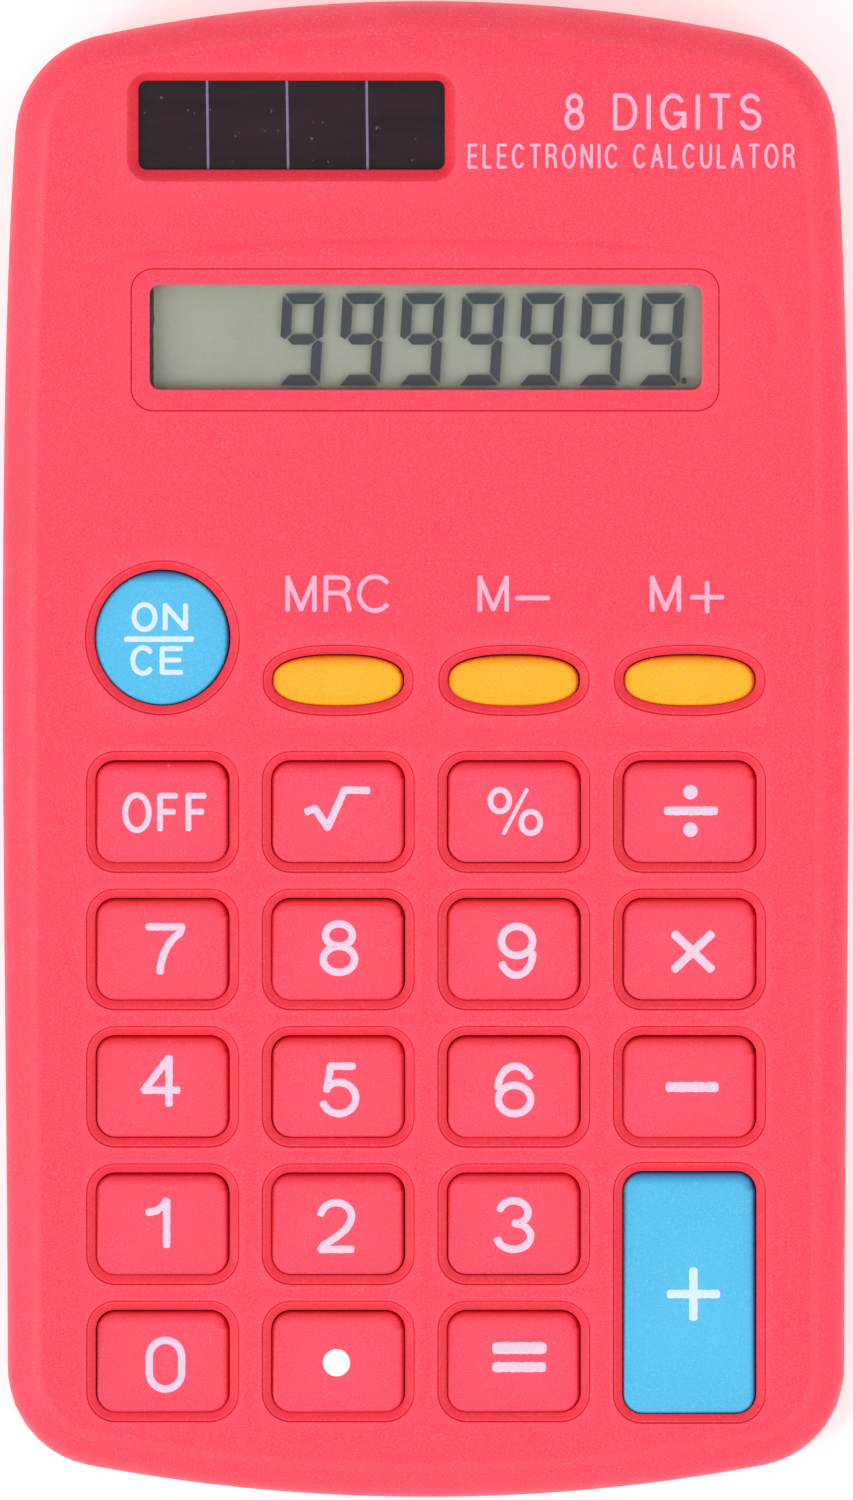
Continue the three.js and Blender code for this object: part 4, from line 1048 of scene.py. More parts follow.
LCD_BOX = (-23.9, 23.9, 26.7, 38.5)
GLASS_TOP, SEGMENT_TOP, SEGMENT_BOTTOM = 1.95, 1.50, 1.56
make_piece("lcd_reflector_plate", plate(*LCD_BOX, 0.4, GLASS_TOP, 3.7), reflector_finish(), "case",
           ["lcd_glass"], sharp=30)
make_piece("lcd_film_plate", plate(-23.5, 23.5, 27.1, 38.1, 0.4, 1.32, 1.42, 0.02), film_finish(), "case",
           ["lcd_front_polarizer"], sharp=30)

# %% The segments
DIGIT_WIDTH, DIGIT_HEIGHT, DIGIT_PITCH, BAR = 3.36, 7.30, 4.80, 0.80
LAST_DIGIT_X, DIGIT_Y, SLANT, MITRE = 16.90, 29.0, math.tan(math.radians(3.5)), 0.22


def segment_outlines():
    """The seven segments of a digit as polygons in its own upright box: trapezoids round the outside, mitred at 45
    degrees with a hairline between them, and a six-sided one across the middle."""
    w, h, t, g = DIGIT_WIDTH, DIGIT_HEIGHT, BAR, MITRE
    m = h / 2
    return {
        "a": [(g, h), (w - g, h), (w - t - g * .3, h - t), (t + g * .3, h - t)],
        "b": [(w, h - g), (w, m + g * 1.2), (w - t * .45, m + g * .2), (w - t, m + t * .5 + g * .6),
              (w - t, h - t - g)],
        "c": [(w, m - g * 1.2), (w, g), (w - t, t + g), (w - t, m - t * .5 - g * .6), (w - t * .45, m - g * .2)],
        "d": [(g, 0), (t + g * .3, t), (w - t - g * .3, t), (w - g, 0)],
        "e": [(0, g), (0, m - g), (t * .5, m - g), (t, m - t * .5 - g), (t, t + g)],
        "f": [(0, h - g), (t, h - t - g), (t, m + t * .5 + g * .6), (t * .45, m + g * .2), (0, m + g * 1.2)],
        "g": [(t * .5 + g, m), (t + g * .8, m + t / 2), (w - t - g * .8, m + t / 2), (w - t * .5 - g, m),
              (w - t - g * .8, m - t / 2), (t + g * .8, m - t / 2)],
    }


def segment_patch(outline_points, x, grow, top, bottom):
    """A polygon grown or shrunk about its middle, slanted, laid in the display and raised between two depths."""
    corners = np.array(outline_points, float)
    middle = corners.mean(0)
    away = corners - middle
    corners = middle + away * (1 + grow / np.hypot(*away.T).max())
    if (corners[:, 0] * np.roll(corners[:, 1], -1) - np.roll(corners[:, 0], -1) * corners[:, 1]).sum() < 0:
        corners = corners[::-1]
    plan_x = x + corners[:, 0] + corners[:, 1] * SLANT
    plan_y = DIGIT_Y + corners[:, 1]
    return stacked([under_display(plan_x, plan_y, depth) for depth in (bottom, top)])


def segment_finish(name, colour, alpha):
    """The crystal's dark tone, faintly cloudy, and as see-through as its alpha says."""
    material, tree, shader = new_finish(name)
    shade = ramp(tree, noise(tree, 3000, 2), [(0.3, scaled(colour, 0.85)), (0.7, scaled(colour, 1.2))])
    tree.links.new(shade, shader.inputs["Base Color"])
    shader.inputs["Roughness"].default_value = 0.45
    shader.inputs["Specular IOR Level"].default_value = 0.1
    shader.inputs["Alpha"].default_value = alpha
    return material


def shown_digits(shift, grow, top, bottom):
    """Every lit segment of the number in the display, counted from its last digit."""
    outlines = segment_outlines()
    return [segment_patch(outlines[s], LAST_DIGIT_X - place * DIGIT_PITCH + shift, grow, top, bottom)
            for place in range(7) for s in "abcdfg"]


digits = shown_digits(0, 0, SEGMENT_TOP, SEGMENT_BOTTOM)
point = oval_loop(LAST_DIGIT_X + DIGIT_WIDTH + 0.42, 29.35, 0.42, 0.5, 3, 4, 4)
digits.append(stacked([under_display(*point.T, depth) for depth in (SEGMENT_BOTTOM, SEGMENT_TOP)]))
# A grey, half see-through copy of the segments, a little larger and shifted, just above the reflector: a painted
# shadow of the segments.
painted_shadows = shown_digits(0.05, 0.05, 1.80, 1.84)
make_piece("lcd_segment_painted_shadows", join(painted_shadows), segment_finish("lcd_segment_painted_shadow", (0.12, 0.15, 0.17), 0.30), "case",
           sharp=30)
make_piece("lcd_segments", join(digits), segment_finish("lcd_segment_dark", (0.010, 0.016, 0.040), 0.97), "case",
           sharp=30)
print("segments", len(digits))

# %% [markdown]
# ## The solar cell
# Behind its window lies a strip of amorphous silicon on glass: nearly black with a brown cast, cut into four cells
# by thin pale lines. The lines are printed conductors, so they are built as fine strokes on the glass.

# %% Solar cell and its conductor lines
def solar_finish():
    """Dark brown glass, streaked a little, smooth enough to mirror the room, with sparse specks of dust."""
    material, tree, shader = new_finish("solar_cell_glass")
    streak = ramp(tree, noise(tree, 90, 4, 0.6, (1, 6, 1)),
                  [(0.3, (0.012, 0.005, 0.009)), (0.7, (0.022, 0.011, 0.016))])
    lint = ramp(tree, noise(tree, 1500, 2, 0.6), [(0.70, 0.0), (0.76, 0.35)])
    tree.links.new(blend_colours(tree, lint, streak, (0.35, 0.32, 0.34)), shader.inputs["Base Color"])
    rough = ramp(tree, noise(tree, 700, 3), [(0.3, 0.12), (0.7, 0.26)])
    tree.links.new(rough, shader.inputs["Roughness"])
    shader.inputs["Specular IOR Level"].default_value = 0.25
    bump(tree, shader, [(noise(tree, 300, 2), 0.01, 0.1)])
    return material


def in_display(depth):
    """The display plane at a depth, as a surface for strokes."""
    def surface(x, y):
        """The plane continued past the crest, without the dip."""
        z = FOLD_Z + (y - FOLD_Y) * math.tan(DISPLAY_TILT) - depth * math.cos(DISPLAY_TILT)
        return np.stack(np.broadcast_arrays(x, y + depth * math.sin(DISPLAY_TILT), z), -1)
    return surface


SOLAR_TOP = 1.3
conductor = printing_ink("solar_conductor", (0.20, 0.17, 0.28), (0.10, 0.08, 0.13))
lines = [ink_stroke(bar((x, 45.6), (x + lean, 54.0)), 0.20, in_display(SOLAR_TOP - 0.005), 0.02, i)
         for i, (x, lean) in enumerate(((-17.42, -.1), (-11.02, -.12), (-4.66, -.1)))]
make_piece("solar_cell_lines", join(lines), conductor, "case", sharp=60)


def refinish(node_name, material):
    """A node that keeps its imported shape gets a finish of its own."""
    node_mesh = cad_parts[node_name].data
    node_mesh.materials.clear()
    node_mesh.materials.append(material)


refinish("solar_cell", solar_finish())

# %% [markdown]
# ## The back cover
# The back cover is the lower half of the case: a tray with a rounded foot, four deep screw holes and an open
# place for the battery door. It is made like the front, with cells for the flat bottom, rings for the screw
# holes, and a band that turns up into the wall. The band and the cells of the door's place are simply left out.

# %% Bottom cells and the turned-up wall
FOOT_ROUND, FOOT_INSET = 1.3, 1.35
WALL_TOP = PARTING - SEAM
DOOR_HALF, DOOR_NEAR, DOOR_GAP = 25.15, 38.05, 0.12
SCREW_SPOTS = [(-29.9, -46.5), (29.9, -46.5), (-29.6, 47.0), (29.6, 47.0)]
SCREW_HOLE_RADIUS = 1.93
SCREW_HOLE = [(0, 2.6), (0, 1.0), (0.0, 0.16), (0.03, 0.06), (0.09, 0.01), (0.14, 0.0)]


def bottom_sheet(plan):
    """A flat patch at height 0, seen from below."""
    return sheet(np.concatenate([plan, np.zeros_like(plan)], -1), flip=True)


def screw_cell(xs, ys, spot):
    """A round hole that goes up into the cover, and its spread to the cell's edge."""
    across, along = len(xs) - 1, len(ys) - 1
    rings = []
    for grow, depth in SCREW_HOLE:
        width = 2 * (SCREW_HOLE_RADIUS + grow)
        ring = oval_loop(*spot, width, width, 2, across, along)
        rings.append(at_height(ring, depth, 0.4 * (grow > 0)))
    margin = spread(rings[-1][:, :2], cell_ring(xs, ys, FOOT_INSET), (0.3, 0.6, 1.0))
    rings += [at_height(ring, 0.0) for ring in margin]
    return sheet(np.stack(rings), closed=True)


def corner_cell(xs, ys):
    """A cell whose corner is bent by the outline: rings that shrink from its border to its middle, so none fold."""
    rings = shrunk(at_height(cell_ring(xs, ys, FOOT_INSET), 0.0), (0, 0.25, 0.5, 0.75, 1))
    return sheet(np.stack(rings), closed=True)


def turned_up_wall(ring, edge, normal, inset, top):
    """From the bottom's border through a quarter circle up to the wall's top, with a small chamfer there."""
    rows = [at_height(ring, 0.0)]
    for t in (0.5, 1.0):
        rows.append(at_height(edge + normal * (inset * (1 - t) + FOOT_ROUND * t)[:, None], 0.0))
    for a in np.radians(np.linspace(0, 90, 9)[1:]):
        spot = edge + normal * (FOOT_ROUND * (1 - math.sin(a)))
        rows.append(at_height(spot, FOOT_ROUND * (1 - math.cos(a)), 0.5 * math.sin(2 * a)))
    for z, back in ((3.0, 0), (4.6, 0), (top - 0.12, 0), (top, 0.1)):
        rows.append(at_height(edge + normal * back, z))
    return np.stack(rows)


def relaxed(points, faces, free, rounds=80):
    """Every free point moves to the mean of its neighbours, again and again, which opens up any folded faces."""
    first, number = same_points(points)
    spot, free = points[first, :2], free[first][:, None]
    a, b = number[faces].ravel(), number[np.roll(faces, -1, 1)].ravel()
    count = np.bincount(a, minlength=len(spot)) + np.bincount(b, minlength=len(spot))
    for _ in range(rounds):
        total = np.stack([np.bincount(a, spot[b, k], len(spot)) + np.bincount(b, spot[a, k], len(spot))
                          for k in (0, 1)], 1)
        spot = np.where(free, total / count[:, None], spot)
    points[:, :2] = spot[number]
    return points


BACK_WALL = 1.2
SIDE, SCREW_SIDE = 32.6, 27.0
bottom_columns = [np.linspace(-SIDE, -SCREW_SIDE, 11), np.linspace(-SCREW_SIDE, -DOOR_HALF, 4),
                  np.linspace(-DOOR_HALF, DOOR_HALF, 61), np.linspace(DOOR_HALF, SCREW_SIDE, 4),
                  np.linspace(SCREW_SIDE, SIDE, 11)]
bottom_rows = [np.linspace(-58.7, -49.6, 13), np.linspace(-49.6, -43.4, 11), np.linspace(-43.4, DOOR_NEAR, 83),
               np.linspace(DOOR_NEAR, 43.9, 8), np.linspace(43.9, 50.1, 11), np.linspace(50.1, 58.7, 13)]
patches = []
for i, xs in enumerate(bottom_columns):
    for k, ys in enumerate(bottom_rows):
        if i in (0, 4) and k in (1, 4):
            patches.append(screw_cell(xs, ys, SCREW_SPOTS[(i == 4) + 2 * (k == 4)]))
        elif i in (0, 4) and k in (0, 5):
            patches.append(corner_cell(xs, ys))
        elif not (i == 2 and k > 2):
            patches.append(bottom_sheet(plain_cell(xs, ys, FOOT_INSET)))
all_columns = np.concatenate([bottom_columns[0]] + [c[1:] for c in bottom_columns[1:]])
all_rows = np.concatenate([bottom_rows[0]] + [r[1:] for r in bottom_rows[1:]])
ring, edge, normal, inset = edge_ring(all_columns, all_rows, FOOT_INSET)
wall = turned_up_wall(ring, edge, normal, inset, WALL_TOP)
at_door = (np.abs(ring[:, 0]) < DOOR_HALF + 1e-6) & (ring[:, 1] > 50)
order = np.arange(len(ring))
first, last = order[at_door].min(), order[at_door].max()
back_wall = np.concatenate([wall[:, last:], wall[:, :first + 1]], 1)
door_wall = wall[:, first:last + 1]
patches.append(sheet(back_wall))
points, faces = join(patches)
low_points = points[:, 2] == 0
on_ring = np.zeros(len(points), bool)
on_ring[low_points] = (np.abs(points[low_points, None, :2] - ring[None]).sum(-1) < 1e-3).any(1)
from_edge = nearest_edge(points[:, 0], points[:, 1])[2]
in_corner = low_points & ~on_ring & (from_edge > FOOT_INSET - 0.01)
in_corner &= np.where(points[:, 1] < 0, (points[:, 1] < -49.65) & (np.abs(points[:, 0]) > 12),
                      (points[:, 1] > 50.15) & (np.abs(points[:, 0]) > DOOR_HALF + 0.05))
door_edge = low_points & (np.abs(np.abs(points[:, 0]) - DOOR_HALF) < 0.3) & (points[:, 1] > DOOR_NEAR - 1e-6)
points = relaxed(points, faces, in_corner | (door_edge & ~on_ring & (points[:, 1] > 50.2)))
beside_door = (points[:, 1] > DOOR_NEAR - 1e-6) & (np.abs(np.abs(points[:, 0]) - DOOR_HALF) < 0.6)
near_line = beside_door & ~low_points & (np.abs(np.abs(points[:, 0]) - DOOR_HALF) < 0.35) | door_edge
points[near_line, 0] = np.sign(points[near_line, 0]) * (DOOR_HALF + DOOR_GAP)
at_near_edge = (np.abs(points[:, 1] - DOOR_NEAR) < 1e-6) & (np.abs(points[:, 0]) < DOOR_HALF + 0.2)
points[at_near_edge, 1] -= DOOR_GAP
back_cover = make_piece("back_cover_shell", (points, faces), red_case, "case", ["back_cover"],
                        sharp=38, thickness=BACK_WALL)
print("back cover", len(back_cover.data.vertices), "points")

# %% [markdown]
# Two things stand up inside the back cover: the lip that locates the front cover, which also closes the seam to
# light, and the bay that holds the cell. Both are closed walls made by carrying a thin section round a loop.

# %% Lip and battery bay
def wall_round(loop_out, loop_in, low, high):
    """A closed wall between two loops of equal length and two heights."""
    section = ((loop_out, low), (loop_out, high), (loop_in, high), (loop_in, low), (loop_out, low))
    return np.stack([at_height(loop, z) for loop, z in section])


def outline_loop(distance):
    """Every twentieth outline point, moved in by a distance."""
    return (outline + inward * distance)[::20]


lip = wall_round(outline_loop(1.25), outline_loop(1.85), 3.0, 7.4)
door_gap = np.flatnonzero((np.abs(lip[0, :, 0]) <= DOOR_HALF + 0.3) & (lip[0, :, 1] >= 40))
lip = np.concatenate([lip[:, door_gap.max() + 1:], lip[:, :door_gap.min()]], 1)
end_faces = [(lip[:4, end], np.array([corners]))
             for end, corners in ((0, [0, 1, 2, 3]), (-1, [3, 2, 1, 0]))]
make_piece("case_lip", join([sheet(lip), *end_faces]), red_case, "case", ["back_cover"], sharp=40)


def box_loop(grow, z):
    """The bay's rounded outline at one height, grown by a distance."""
    loop = rounded_loop(0, 48, 52 + 2 * grow, 12 + 2 * grow, max(1.4 + grow, 0.4), 30, 14, 2)
    return at_height(loop, z)


BAY_SECTION = [(0, 13.85), (0, 13.6), (0, 3.0), (0.1, 2.9), (0.9, 2.9), (1.0, 3.0), (1.0, 14.2), (0.6, 14.6)]
bay_rings = [box_loop(grow, z) for grow, z in BAY_SECTION]
bay_rings = shrunk(bay_rings[0], (0, 0.5)) + bay_rings + shrunk(bay_rings[-1], (0.5, 0))
make_piece("battery_bay", sheet(np.stack(bay_rings), closed=True), red_case, "case", ["back_cover"],
           sharp=40)

# %% [markdown]
# ## The battery door
# The door carries its own part of the bottom, the rounded foot and the wall. A shallow thumb rest with three ribs
# gives grip, and two tongues hook under the cover. The thumb rest is a height function on a fine grid, because
# its soft walls and ribs are easier to write as one formula than as rings.

# %% Door
def thumb_rest(x, y):
    """Depth of a rounded box with soft walls, less three soft ribs that rise back to the surface."""
    outside = box_distance(np.abs(x) - 7.0, np.abs(y - 46.0) - 2.0)
    rest = 0.7 * smooth_step((2.0 - outside) / 0.35)
    ribs = sum(smooth_step((0.62 - np.abs(y - line)) / 0.3) for line in (43.4, 46.0, 48.6))
    return rest * (1 - ribs * smooth_step((7.9 - np.abs(x)) / 0.3))


door_xs = np.concatenate([bottom_columns[2][bottom_columns[2] < -11], np.linspace(-10.6, 10.6, 107),
                          bottom_columns[2][bottom_columns[2] > 11]])
door_rows = np.concatenate([bottom_rows[3][:2], np.linspace(40.4, 51.6, 75), [53.0, 54.5, 56.0, 57.2]])
low = np.stack(np.meshgrid(door_xs, door_rows), -1)
far_line = door_wall[0][::-1]
far_y = np.interp(door_xs, far_line[:, 0], far_line[:, 1])
plan = np.concatenate([low, np.stack([door_xs, far_y], 1)[None]])
plate_points = np.concatenate([plan, thumb_rest(plan[..., 0], plan[..., 1])[..., None],
                               0.6 * (thumb_rest(plan[..., 0], plan[..., 1]) > 0.3)[..., None]], -1)
turned = np.stack([np.stack([np.interp(door_xs, row[::-1, 0], row[::-1, k]) for k in range(4)], 1)
                   for row in door_wall])
turned[..., 0] = door_xs
points, faces = join([sheet(plate_points, flip=True), sheet(turned, flip=True)])
sides = np.abs(np.abs(points[:, 0]) - DOOR_HALF) < 1e-6
points[sides, 0] = np.sign(points[sides, 0]) * (DOOR_HALF - DOOR_GAP)
points[np.abs(points[:, 1] - DOOR_NEAR) < 1e-6, 1] += DOOR_GAP
make_piece("battery_door_shell", (points, faces), red_case, "battery_door", ["battery_door"],
           sharp=38, thickness=BACK_WALL)


def soft_block(low, high, edge=0.2, steps=2):
    """A block with rounded edges: its loop steps out at the bottom and in at the top."""
    (x0, y0, z0), (x1, y1, z1) = low, high
    rings = []
    for pull, z in ((edge, z0), (edge * 0.3, z0 + edge * 0.3), (0, z0 + edge), (0, z1 - edge),
                    (edge * 0.3, z1 - edge * 0.3), (edge, z1)):
        loop = rounded_loop((x0 + x1) / 2, (y0 + y1) / 2, x1 - x0 - 2 * pull, y1 - y0 - 2 * pull, edge, 6, 6, steps)
        rings.append(at_height(loop, z))
    return stacked(rings)


tongues = [soft_block((x - 3, 36.2, 1.75), (x + 3, 40.2, 2.5)) for x in (-11, 11)]
roots = [soft_block((x - 3, 38.4, 1.0), (x + 3, 40.2, 2.3)) for x in (-11, 11)]
make_piece("battery_door_tongues", join(tongues + roots), red_case, "battery_door", sharp=40)

# %% [markdown]
# ## Case screws
# The screws are cross-headed and sit deep in their holes. The head is a low dome with a cross pressed into it. On a
# polar grid the cross is one height function, so the head, its edge and its recess are a single closed surface.

# %% Metal finish and screw heads
def metal_finish(name, colour, roughness, brushed=(1, 1, 1)):
    """Bare metal with a fine uneven shine and a few duller patches."""
    material, tree, shader = new_finish(name)
    patch = noise(tree, 900, 4, 0.6, brushed)
    tree.links.new(ramp(tree, patch, [(0.35, scaled(colour, 0.72)), (0.65, colour)]), shader.inputs["Base Color"])
    shader.inputs["Metallic"].default_value = 1.0
    fine = noise(tree, 5200, 2, 0.5, brushed)
    tree.links.new(ramp(tree, fine, [(0.3, roughness - 0.08), (0.7, roughness + 0.12)]), shader.inputs["Roughness"])
    bump(tree, shader, [(fine, 0.006, 0.5)])
    return material


def cross_recess(x, y):
    """Depth of two crossed slots with soft walls, both fading out towards their ends."""
    arms = [smooth_step((0.30 - np.abs(a)) / 0.12) * smooth_step((1.05 - np.abs(b)) / 0.2)
            for a, b in ((x, y), (y, x))]
    return 0.55 * np.maximum(*arms)


def screw_head(x, y):
    """Polar rings from the middle of the shank's end out and over the rim to the head's middle, facing down."""
    angle = np.linspace(0, 2 * math.pi, 96, endpoint=False)
    radii = [(0.0, 3.4), (1.0, 3.4), (1.1, 3.3), (1.1, 2.5), (1.7, 2.5), (1.78, 2.42), (1.8, 2.0), (1.78, 1.5),
             (1.72, 1.38), (1.62, 1.31)] + [(r, 1.30 - 0.08 * (1 - (r / 1.62) ** 2))
                                           for r in np.linspace(1.55, 0, 26)]
    rings = []
    for r, z in radii:
        u, v = r * np.cos(angle), r * np.sin(angle)
        height = z + (cross_recess(u, v) if z < 1.35 else 0.0)
        rings.append(np.stack(np.broadcast_arrays(x + u, y + v, height, 0.0), -1))
    return sheet(np.stack(rings), closed=True, flip=True)


zinc = metal_finish("zinc_plated_steel", (0.56, 0.57, 0.60), 0.32)
for number, spot in enumerate(SCREW_SPOTS, 1):
    make_piece(f"case_screw_{number}_head", screw_head(*spot), zinc, "case", [f"case_screw_{number}"],
               sharp=40)

# %% [markdown]
# ## The cell
# A generic AAA cell in a plain banded jacket. It is a turned body, so one profile is spun round the long axis.

# %% Battery cell
def spun_along_x(profile, y, z, steps=72):
    """Turns (x, radius) pairs about an axis parallel to X."""
    angle = np.linspace(0, 2 * math.pi, steps, endpoint=False)
    rings = [np.stack(np.broadcast_arrays(x, y + r * np.cos(angle), z + r * np.sin(angle), 0.0), -1)
             for x, r in profile]
    return sheet(np.stack(rings), closed=True)


def jacket_finish():
    """Printed film: a dark body, a copper band at one end and a fine gloss, with the bands read off along X."""
    material, tree, shader = new_finish("printed_cell_jacket")
    along = combine(tree, "ADD", combine(tree, "MULTIPLY", object_x(tree), 1 / (50 * MM)), 0.5)
    bands = ramp(tree, along, [(0.0, (0.50, 0.50, 0.52)), (0.062, (0.50, 0.50, 0.52)), (0.066, (0.52, 0.22, 0.06)),
                               (0.28, (0.52, 0.22, 0.06)), (0.286, (0.85, 0.84, 0.80)), (0.300, (0.02, 0.022, 0.03)),
                               (0.93, (0.02, 0.022, 0.03)), (0.936, (0.5, 0.5, 0.52))])
    speck = noise(tree, 2400, 3, 0.6)
    tree.links.new(blend_colours(tree, combine(tree, "MULTIPLY", speck, 0.10), bands, (0.45, 0.42, 0.40)),
                   shader.inputs["Base Color"])
    tree.links.new(ramp(tree, speck, [(0.3, 0.20), (0.7, 0.36)]), shader.inputs["Roughness"])
    tree.links.new(ramp(tree, along, [(0.062, 1.0), (0.067, 0.25), (0.93, 0.15), (0.938, 1.0)]),
                   shader.inputs["Metallic"])
    bump(tree, shader, [(noise(tree, 700, 3), 0.02, 0.4)])
    return material


cell_profile = [(-22.25, 0.0), (-22.25, 1.3), (-22.17, 1.72), (-21.95, 1.88), (-21.6, 1.9), (-21.47, 2.1),
                (-21.45, 3.2), (-21.5, 4.3), (-21.4, 4.85), (-21.1, 5.12), (-20.6, 5.24), (-20.2, 5.18),
                (-19.9, 5.25), (-10, 5.25), (0, 5.25), (10, 5.25), (20.6, 5.25), (21.2, 5.19), (21.7, 5.0),
                (22.1, 4.6), (22.2, 4.3), (22.05, 4.0), (22.25, 3.7), (22.25, 1.5), (22.25, 0.0)]
make_piece("battery_cell_body", spun_along_x(cell_profile, 48.0, 8.3), jacket_finish(), "case",
           ["battery_cell"], sharp=40)

# %% [markdown]
# ## Under the keys
# A silicone sheet lies under the caps, with a soft dome below each one that pushes the key back. The domes are
# pieces of their own. A turned profile with a fillet at its foot and a rounded tip serves all of them.

# %% Silicone sheet and domes
def soft_finish(name, colour, spread_of_tone, roughness, size, relief, coat=0.0, metallic=0.0, stretch=(1, 1, 1)):
    """One finish for small inner parts: two tones from a cloudy noise, with a fine relief of the same grain."""
    material, tree, shader = new_finish(name)
    cloud, fine = noise(tree, size, 4, 0.6, stretch), noise(tree, size * 6, 2, 0.5, stretch)
    tones = ramp(tree, cloud, [(0.3, scaled(colour, 1 - spread_of_tone)), (0.7, scaled(colour, 1 + spread_of_tone))])
    tree.links.new(tones, shader.inputs["Base Color"])
    tree.links.new(ramp(tree, fine, [(0.3, roughness - 0.07), (0.7, roughness + 0.1)]), shader.inputs["Roughness"])
    shader.inputs["Coat Weight"].default_value = coat
    shader.inputs["Metallic"].default_value = metallic
    bump(tree, shader, [(fine, relief, 0.6)])
    return material


silicone = soft_finish("grey_silicone", (0.62, 0.63, 0.62), 0.06, 0.55, 700, 0.01)
DOME_PROFILE = [(2.3, 4.52), (2.75, 4.52), (2.72, 4.42), (2.62, 4.3), (2.5, 4.1), (2.2, 3.75), (1.95, 3.45),
                (1.75, 3.25), (1.62, 3.1), (1.5, 3.01), (1.3, 2.97), (1.0, 2.95)]


def dome_patch(x, y):
    """The dome's profile of (radius, depth) turned about the key's axis, with both ends closed."""
    angle = np.linspace(0, 2 * math.pi, 40, endpoint=False)
    rings = [key_surface(x + r * np.cos(angle), y + r * np.sin(angle), depth) for r, depth in DOME_PROFILE]
    return stacked(rings)


def silicone_sheet():
    """A thin slab on the key plane, its edges slightly rounded."""
    rings = []
    for pull, depth in ((0.15, 5.1), (0.0, 5.0), (0.0, 4.6), (0.15, 4.5)):
        loop = rounded_loop(0, -20.65, 53.4 - 2 * pull, 67.7 - 2 * pull, 3.0, 40, 48)
        rings.append(key_surface(*loop.T, depth))
    return stacked(rings)


make_piece("key_sheet", silicone_sheet(), silicone, "case", ["key_membrane"], sharp=40)
for name, key in KEYS.items():
    dome = make_piece(f"{name}_dome", dome_patch(key["x"], key["y"]), silicone, "case", sharp=50)
    foot = key_surface(key["x"], key["y"], 4.5)[:3] * MM
    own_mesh(dome)
print("domes", len(KEYS))

# %% [markdown]
# ## Finishes of the inner parts
# The rest of the inside keeps its CAD shapes and only needs honest finishes: a green laminate with traces, black
# epoxy over the chip, a sleeved capacitor, plated steel contacts and soft lead insulation. Most share one finish
# with different numbers; the laminate has its own, because its traces have to look drawn.

# %% Circuit board and the small parts
def laminate_finish():
    """Green mask over straight traces: bands of two crossing stair-stepped noises, and small bright pads."""
    material, tree, shader = new_finish("green_laminate")
    across = noise(tree, 260, 0, 0.5, (1, 0.12, 1))
    along = noise(tree, 240, 0, 0.5, (0.12, 1, 1))
    trace = combine(tree, "MAXIMUM", ramp(tree, across, [(0.47, 0.0), (0.49, 1.0), (0.51, 1.0), (0.53, 0.0)]),
                    ramp(tree, along, [(0.48, 0.0), (0.495, 1.0), (0.51, 1.0), (0.525, 0.0)]))
    mask = blend_colours(tree, trace, (0.012, 0.11, 0.035), (0.05, 0.26, 0.09))
    pads = ramp(tree, noise(tree, 900, 0), [(0.74, 0.0), (0.76, 1.0)])
    tree.links.new(blend_colours(tree, pads, mask, (0.66, 0.66, 0.62)), shader.inputs["Base Color"])
    tree.links.new(ramp(tree, noise(tree, 800, 3), [(0.3, 0.28), (0.7, 0.42)]), shader.inputs["Roughness"])
    bump(tree, shader, [(trace, 0.04, 0.8), (pads, 0.05, 0.6)])
    return material


steel_part = metal_finish("nickel_plated_steel", (0.62, 0.60, 0.56), 0.26, (1, 4, 1))
INNER = {
    laminate_finish(): ["circuit_board"],
    soft_finish("black_epoxy", (0.012, 0.012, 0.014), 0.3, 0.22, 500, 0.03): ["chip_blob"],
    soft_finish("capacitor_film", (0.03, 0.05, 0.16), 0.2, 0.3, 600, 0.01, 0.3): ["board_capacitor"],
    soft_finish("red_lamp_epoxy", (0.55, 0.02, 0.015), 0.15, 0.15, 700, 0.01, 0.5): ["limiter_led"],
    soft_finish("matt_reflector", (0.60, 0.61, 0.60), 0.07, 0.4, 900, 0.006, 0, 0.5): ["lcd_rear_reflector"],
    soft_finish("white_moulding", (0.80, 0.79, 0.75), 0.04, 0.48, 400, 0.012): ["lcd_retainer"],
    soft_finish("amber_ribbon", (0.50, 0.20, 0.03), 0.2, 0.3, 1500, 0.01, 0.3, 0, (1, 0.05, 0.05)): ["lcd_ribbon"],
    soft_finish("black_foam", (0.03, 0.03, 0.032), 0.4, 0.85, 2600, 0.08): ["solar_pad"],
    soft_finish("red_insulation", (0.50, 0.015, 0.015), 0.12, 0.4, 800, 0.01): ["battery_lead_positive",
                                                                            "solar_lead_positive"],
    soft_finish("black_insulation", (0.016, 0.016, 0.018), 0.3, 0.4, 800, 0.01): ["battery_lead_negative",
                                                                              "solar_lead_negative"],
    steel_part: ["battery_contact_positive", "battery_spring_negative", *[f"board_screw_{k}" for k in range(1, 5)]],
}
for material, names in INNER.items():
    for name in names:
        refinish(name, material)
print("inner parts", sum(len(names) for names in INNER.values()))

# %% [markdown]
# ## Floor, light and camera
# The part is shown from straight above on a plain pale floor. Two large soft lights stand low at the left and the
# right, the left one stronger, in an even pale world, so the wells and the gaps get soft shadows.

# %% Floor
def floor_finish():
    """Pale, nearly even and matt, with a little light of its own so that the shadows stay soft."""
    material, tree, shader = new_finish("pale_floor")
    tone = ramp(tree, noise(tree, 6, 2), [(0.3, 0.955), (0.7, 0.97)])
    tree.links.new(tone, shader.inputs["Base Color"])
    shader.inputs["Roughness"].default_value = 0.8
    shader.inputs["Emission Color"].default_value = (1.0, 1.0, 1.0, 1)
    shader.inputs["Emission Strength"].default_value = 0.20
    return material


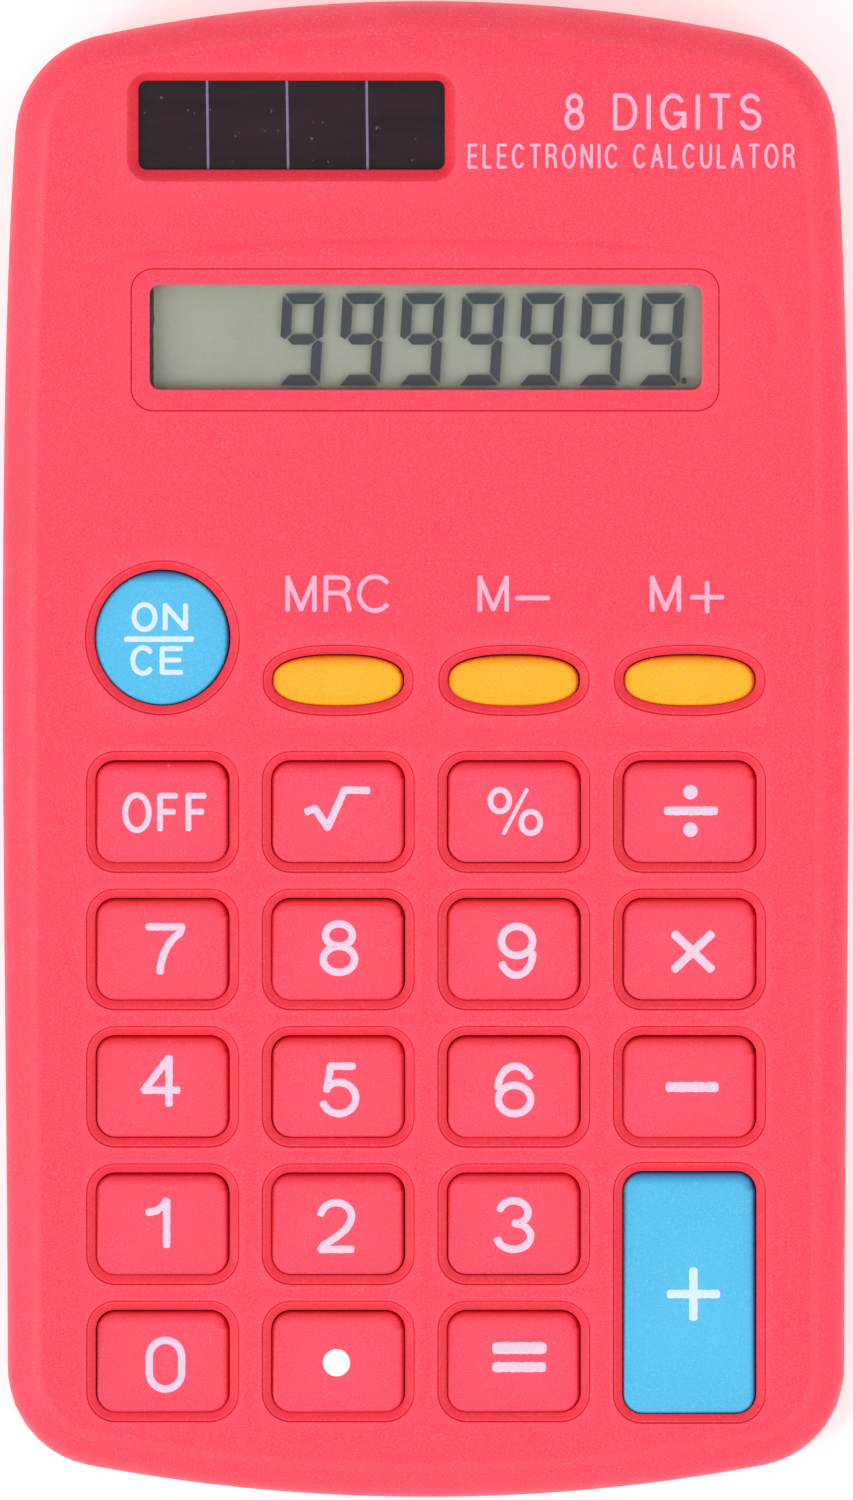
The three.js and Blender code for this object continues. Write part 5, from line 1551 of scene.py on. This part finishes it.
FLOOR_REACH, FLOOR_HEIGHT = 3000.0, -0.02
edges = np.linspace(-FLOOR_REACH, FLOOR_REACH, 3)
fx, fy = np.meshgrid(edges, edges)
flat, faces = sheet(np.stack([fx, fy, np.full_like(fx, FLOOR_HEIGHT)], -1))
floor_mesh = bpy.data.meshes.new("floor")
floor_mesh.from_pydata((flat[:, :3] * MM).tolist(), [], faces.tolist())
floor_mesh.materials.append(floor_finish())
floor = bpy.data.objects.new("floor", floor_mesh)
bpy.context.scene.collection.objects.link(floor)

# %% Light
scene = bpy.context.scene
scene.view_settings.view_transform = "Standard"
scene.view_settings.look = "None"
world = bpy.data.worlds.new("studio")
world.use_nodes = True
world.node_tree.nodes["Background"].inputs["Color"].default_value = (1.0, 1.0, 1.0, 1)
world.node_tree.nodes["Background"].inputs["Strength"].default_value = 0.74
scene.world = world


def soft_light(name, place, target, size, power, colour=(1, 1, 1)):
    """A square area light at a place in metres, turned to face the target."""
    light = bpy.data.lights.new(name, "AREA")
    light.shape = "SQUARE"
    light.size = size
    light.energy = power
    light.color = colour
    lamp = bpy.data.objects.new(name, light)
    aim = np.array(target) - np.array(place)
    lamp.location = place
    lamp.rotation_euler = (math.atan2(math.hypot(aim[0], aim[1]), -aim[2]), 0, math.atan2(-aim[0], aim[1]))
    scene.collection.objects.link(lamp)
    return lamp


soft_light("left_softbox", (-1.05, -0.35, 0.95), (0, 0, 0), 0.8, 9.5)
soft_light("right_fill", (0.9, -0.4, 0.95), (0, 0, 0), 0.8, 4.5)

# %% Camera
# The part's width as a share of the length in view; the camera's height in metres; the face's in millimetres.
SHARE_OF_LENGTH, CAMERA_HEIGHT, FACE_HEIGHT = 847.0 / 1500, 2.6, 13.0
SENSOR = 36.0
camera_data = bpy.data.cameras.new("camera")
camera_data.type = "PERSP"
camera_data.sensor_fit = "AUTO"
camera_data.sensor_width = SENSOR
widest = float(np.ptp(outline[:, 0]))
seen_length = widest / SHARE_OF_LENGTH
camera_data.lens = SENSOR * (CAMERA_HEIGHT / MM - FACE_HEIGHT) / seen_length
camera_data.clip_start, camera_data.clip_end = 0.05, 10.0
camera = bpy.data.objects.new("camera", camera_data)
camera.location = (0.00004, 0.0, CAMERA_HEIGHT)
camera.rotation_euler = (0, 0, 0)
scene.collection.objects.link(camera)
scene.camera = camera
print("lens", round(camera_data.lens, 1), "mm, length in view", round(seen_length, 2), "mm")
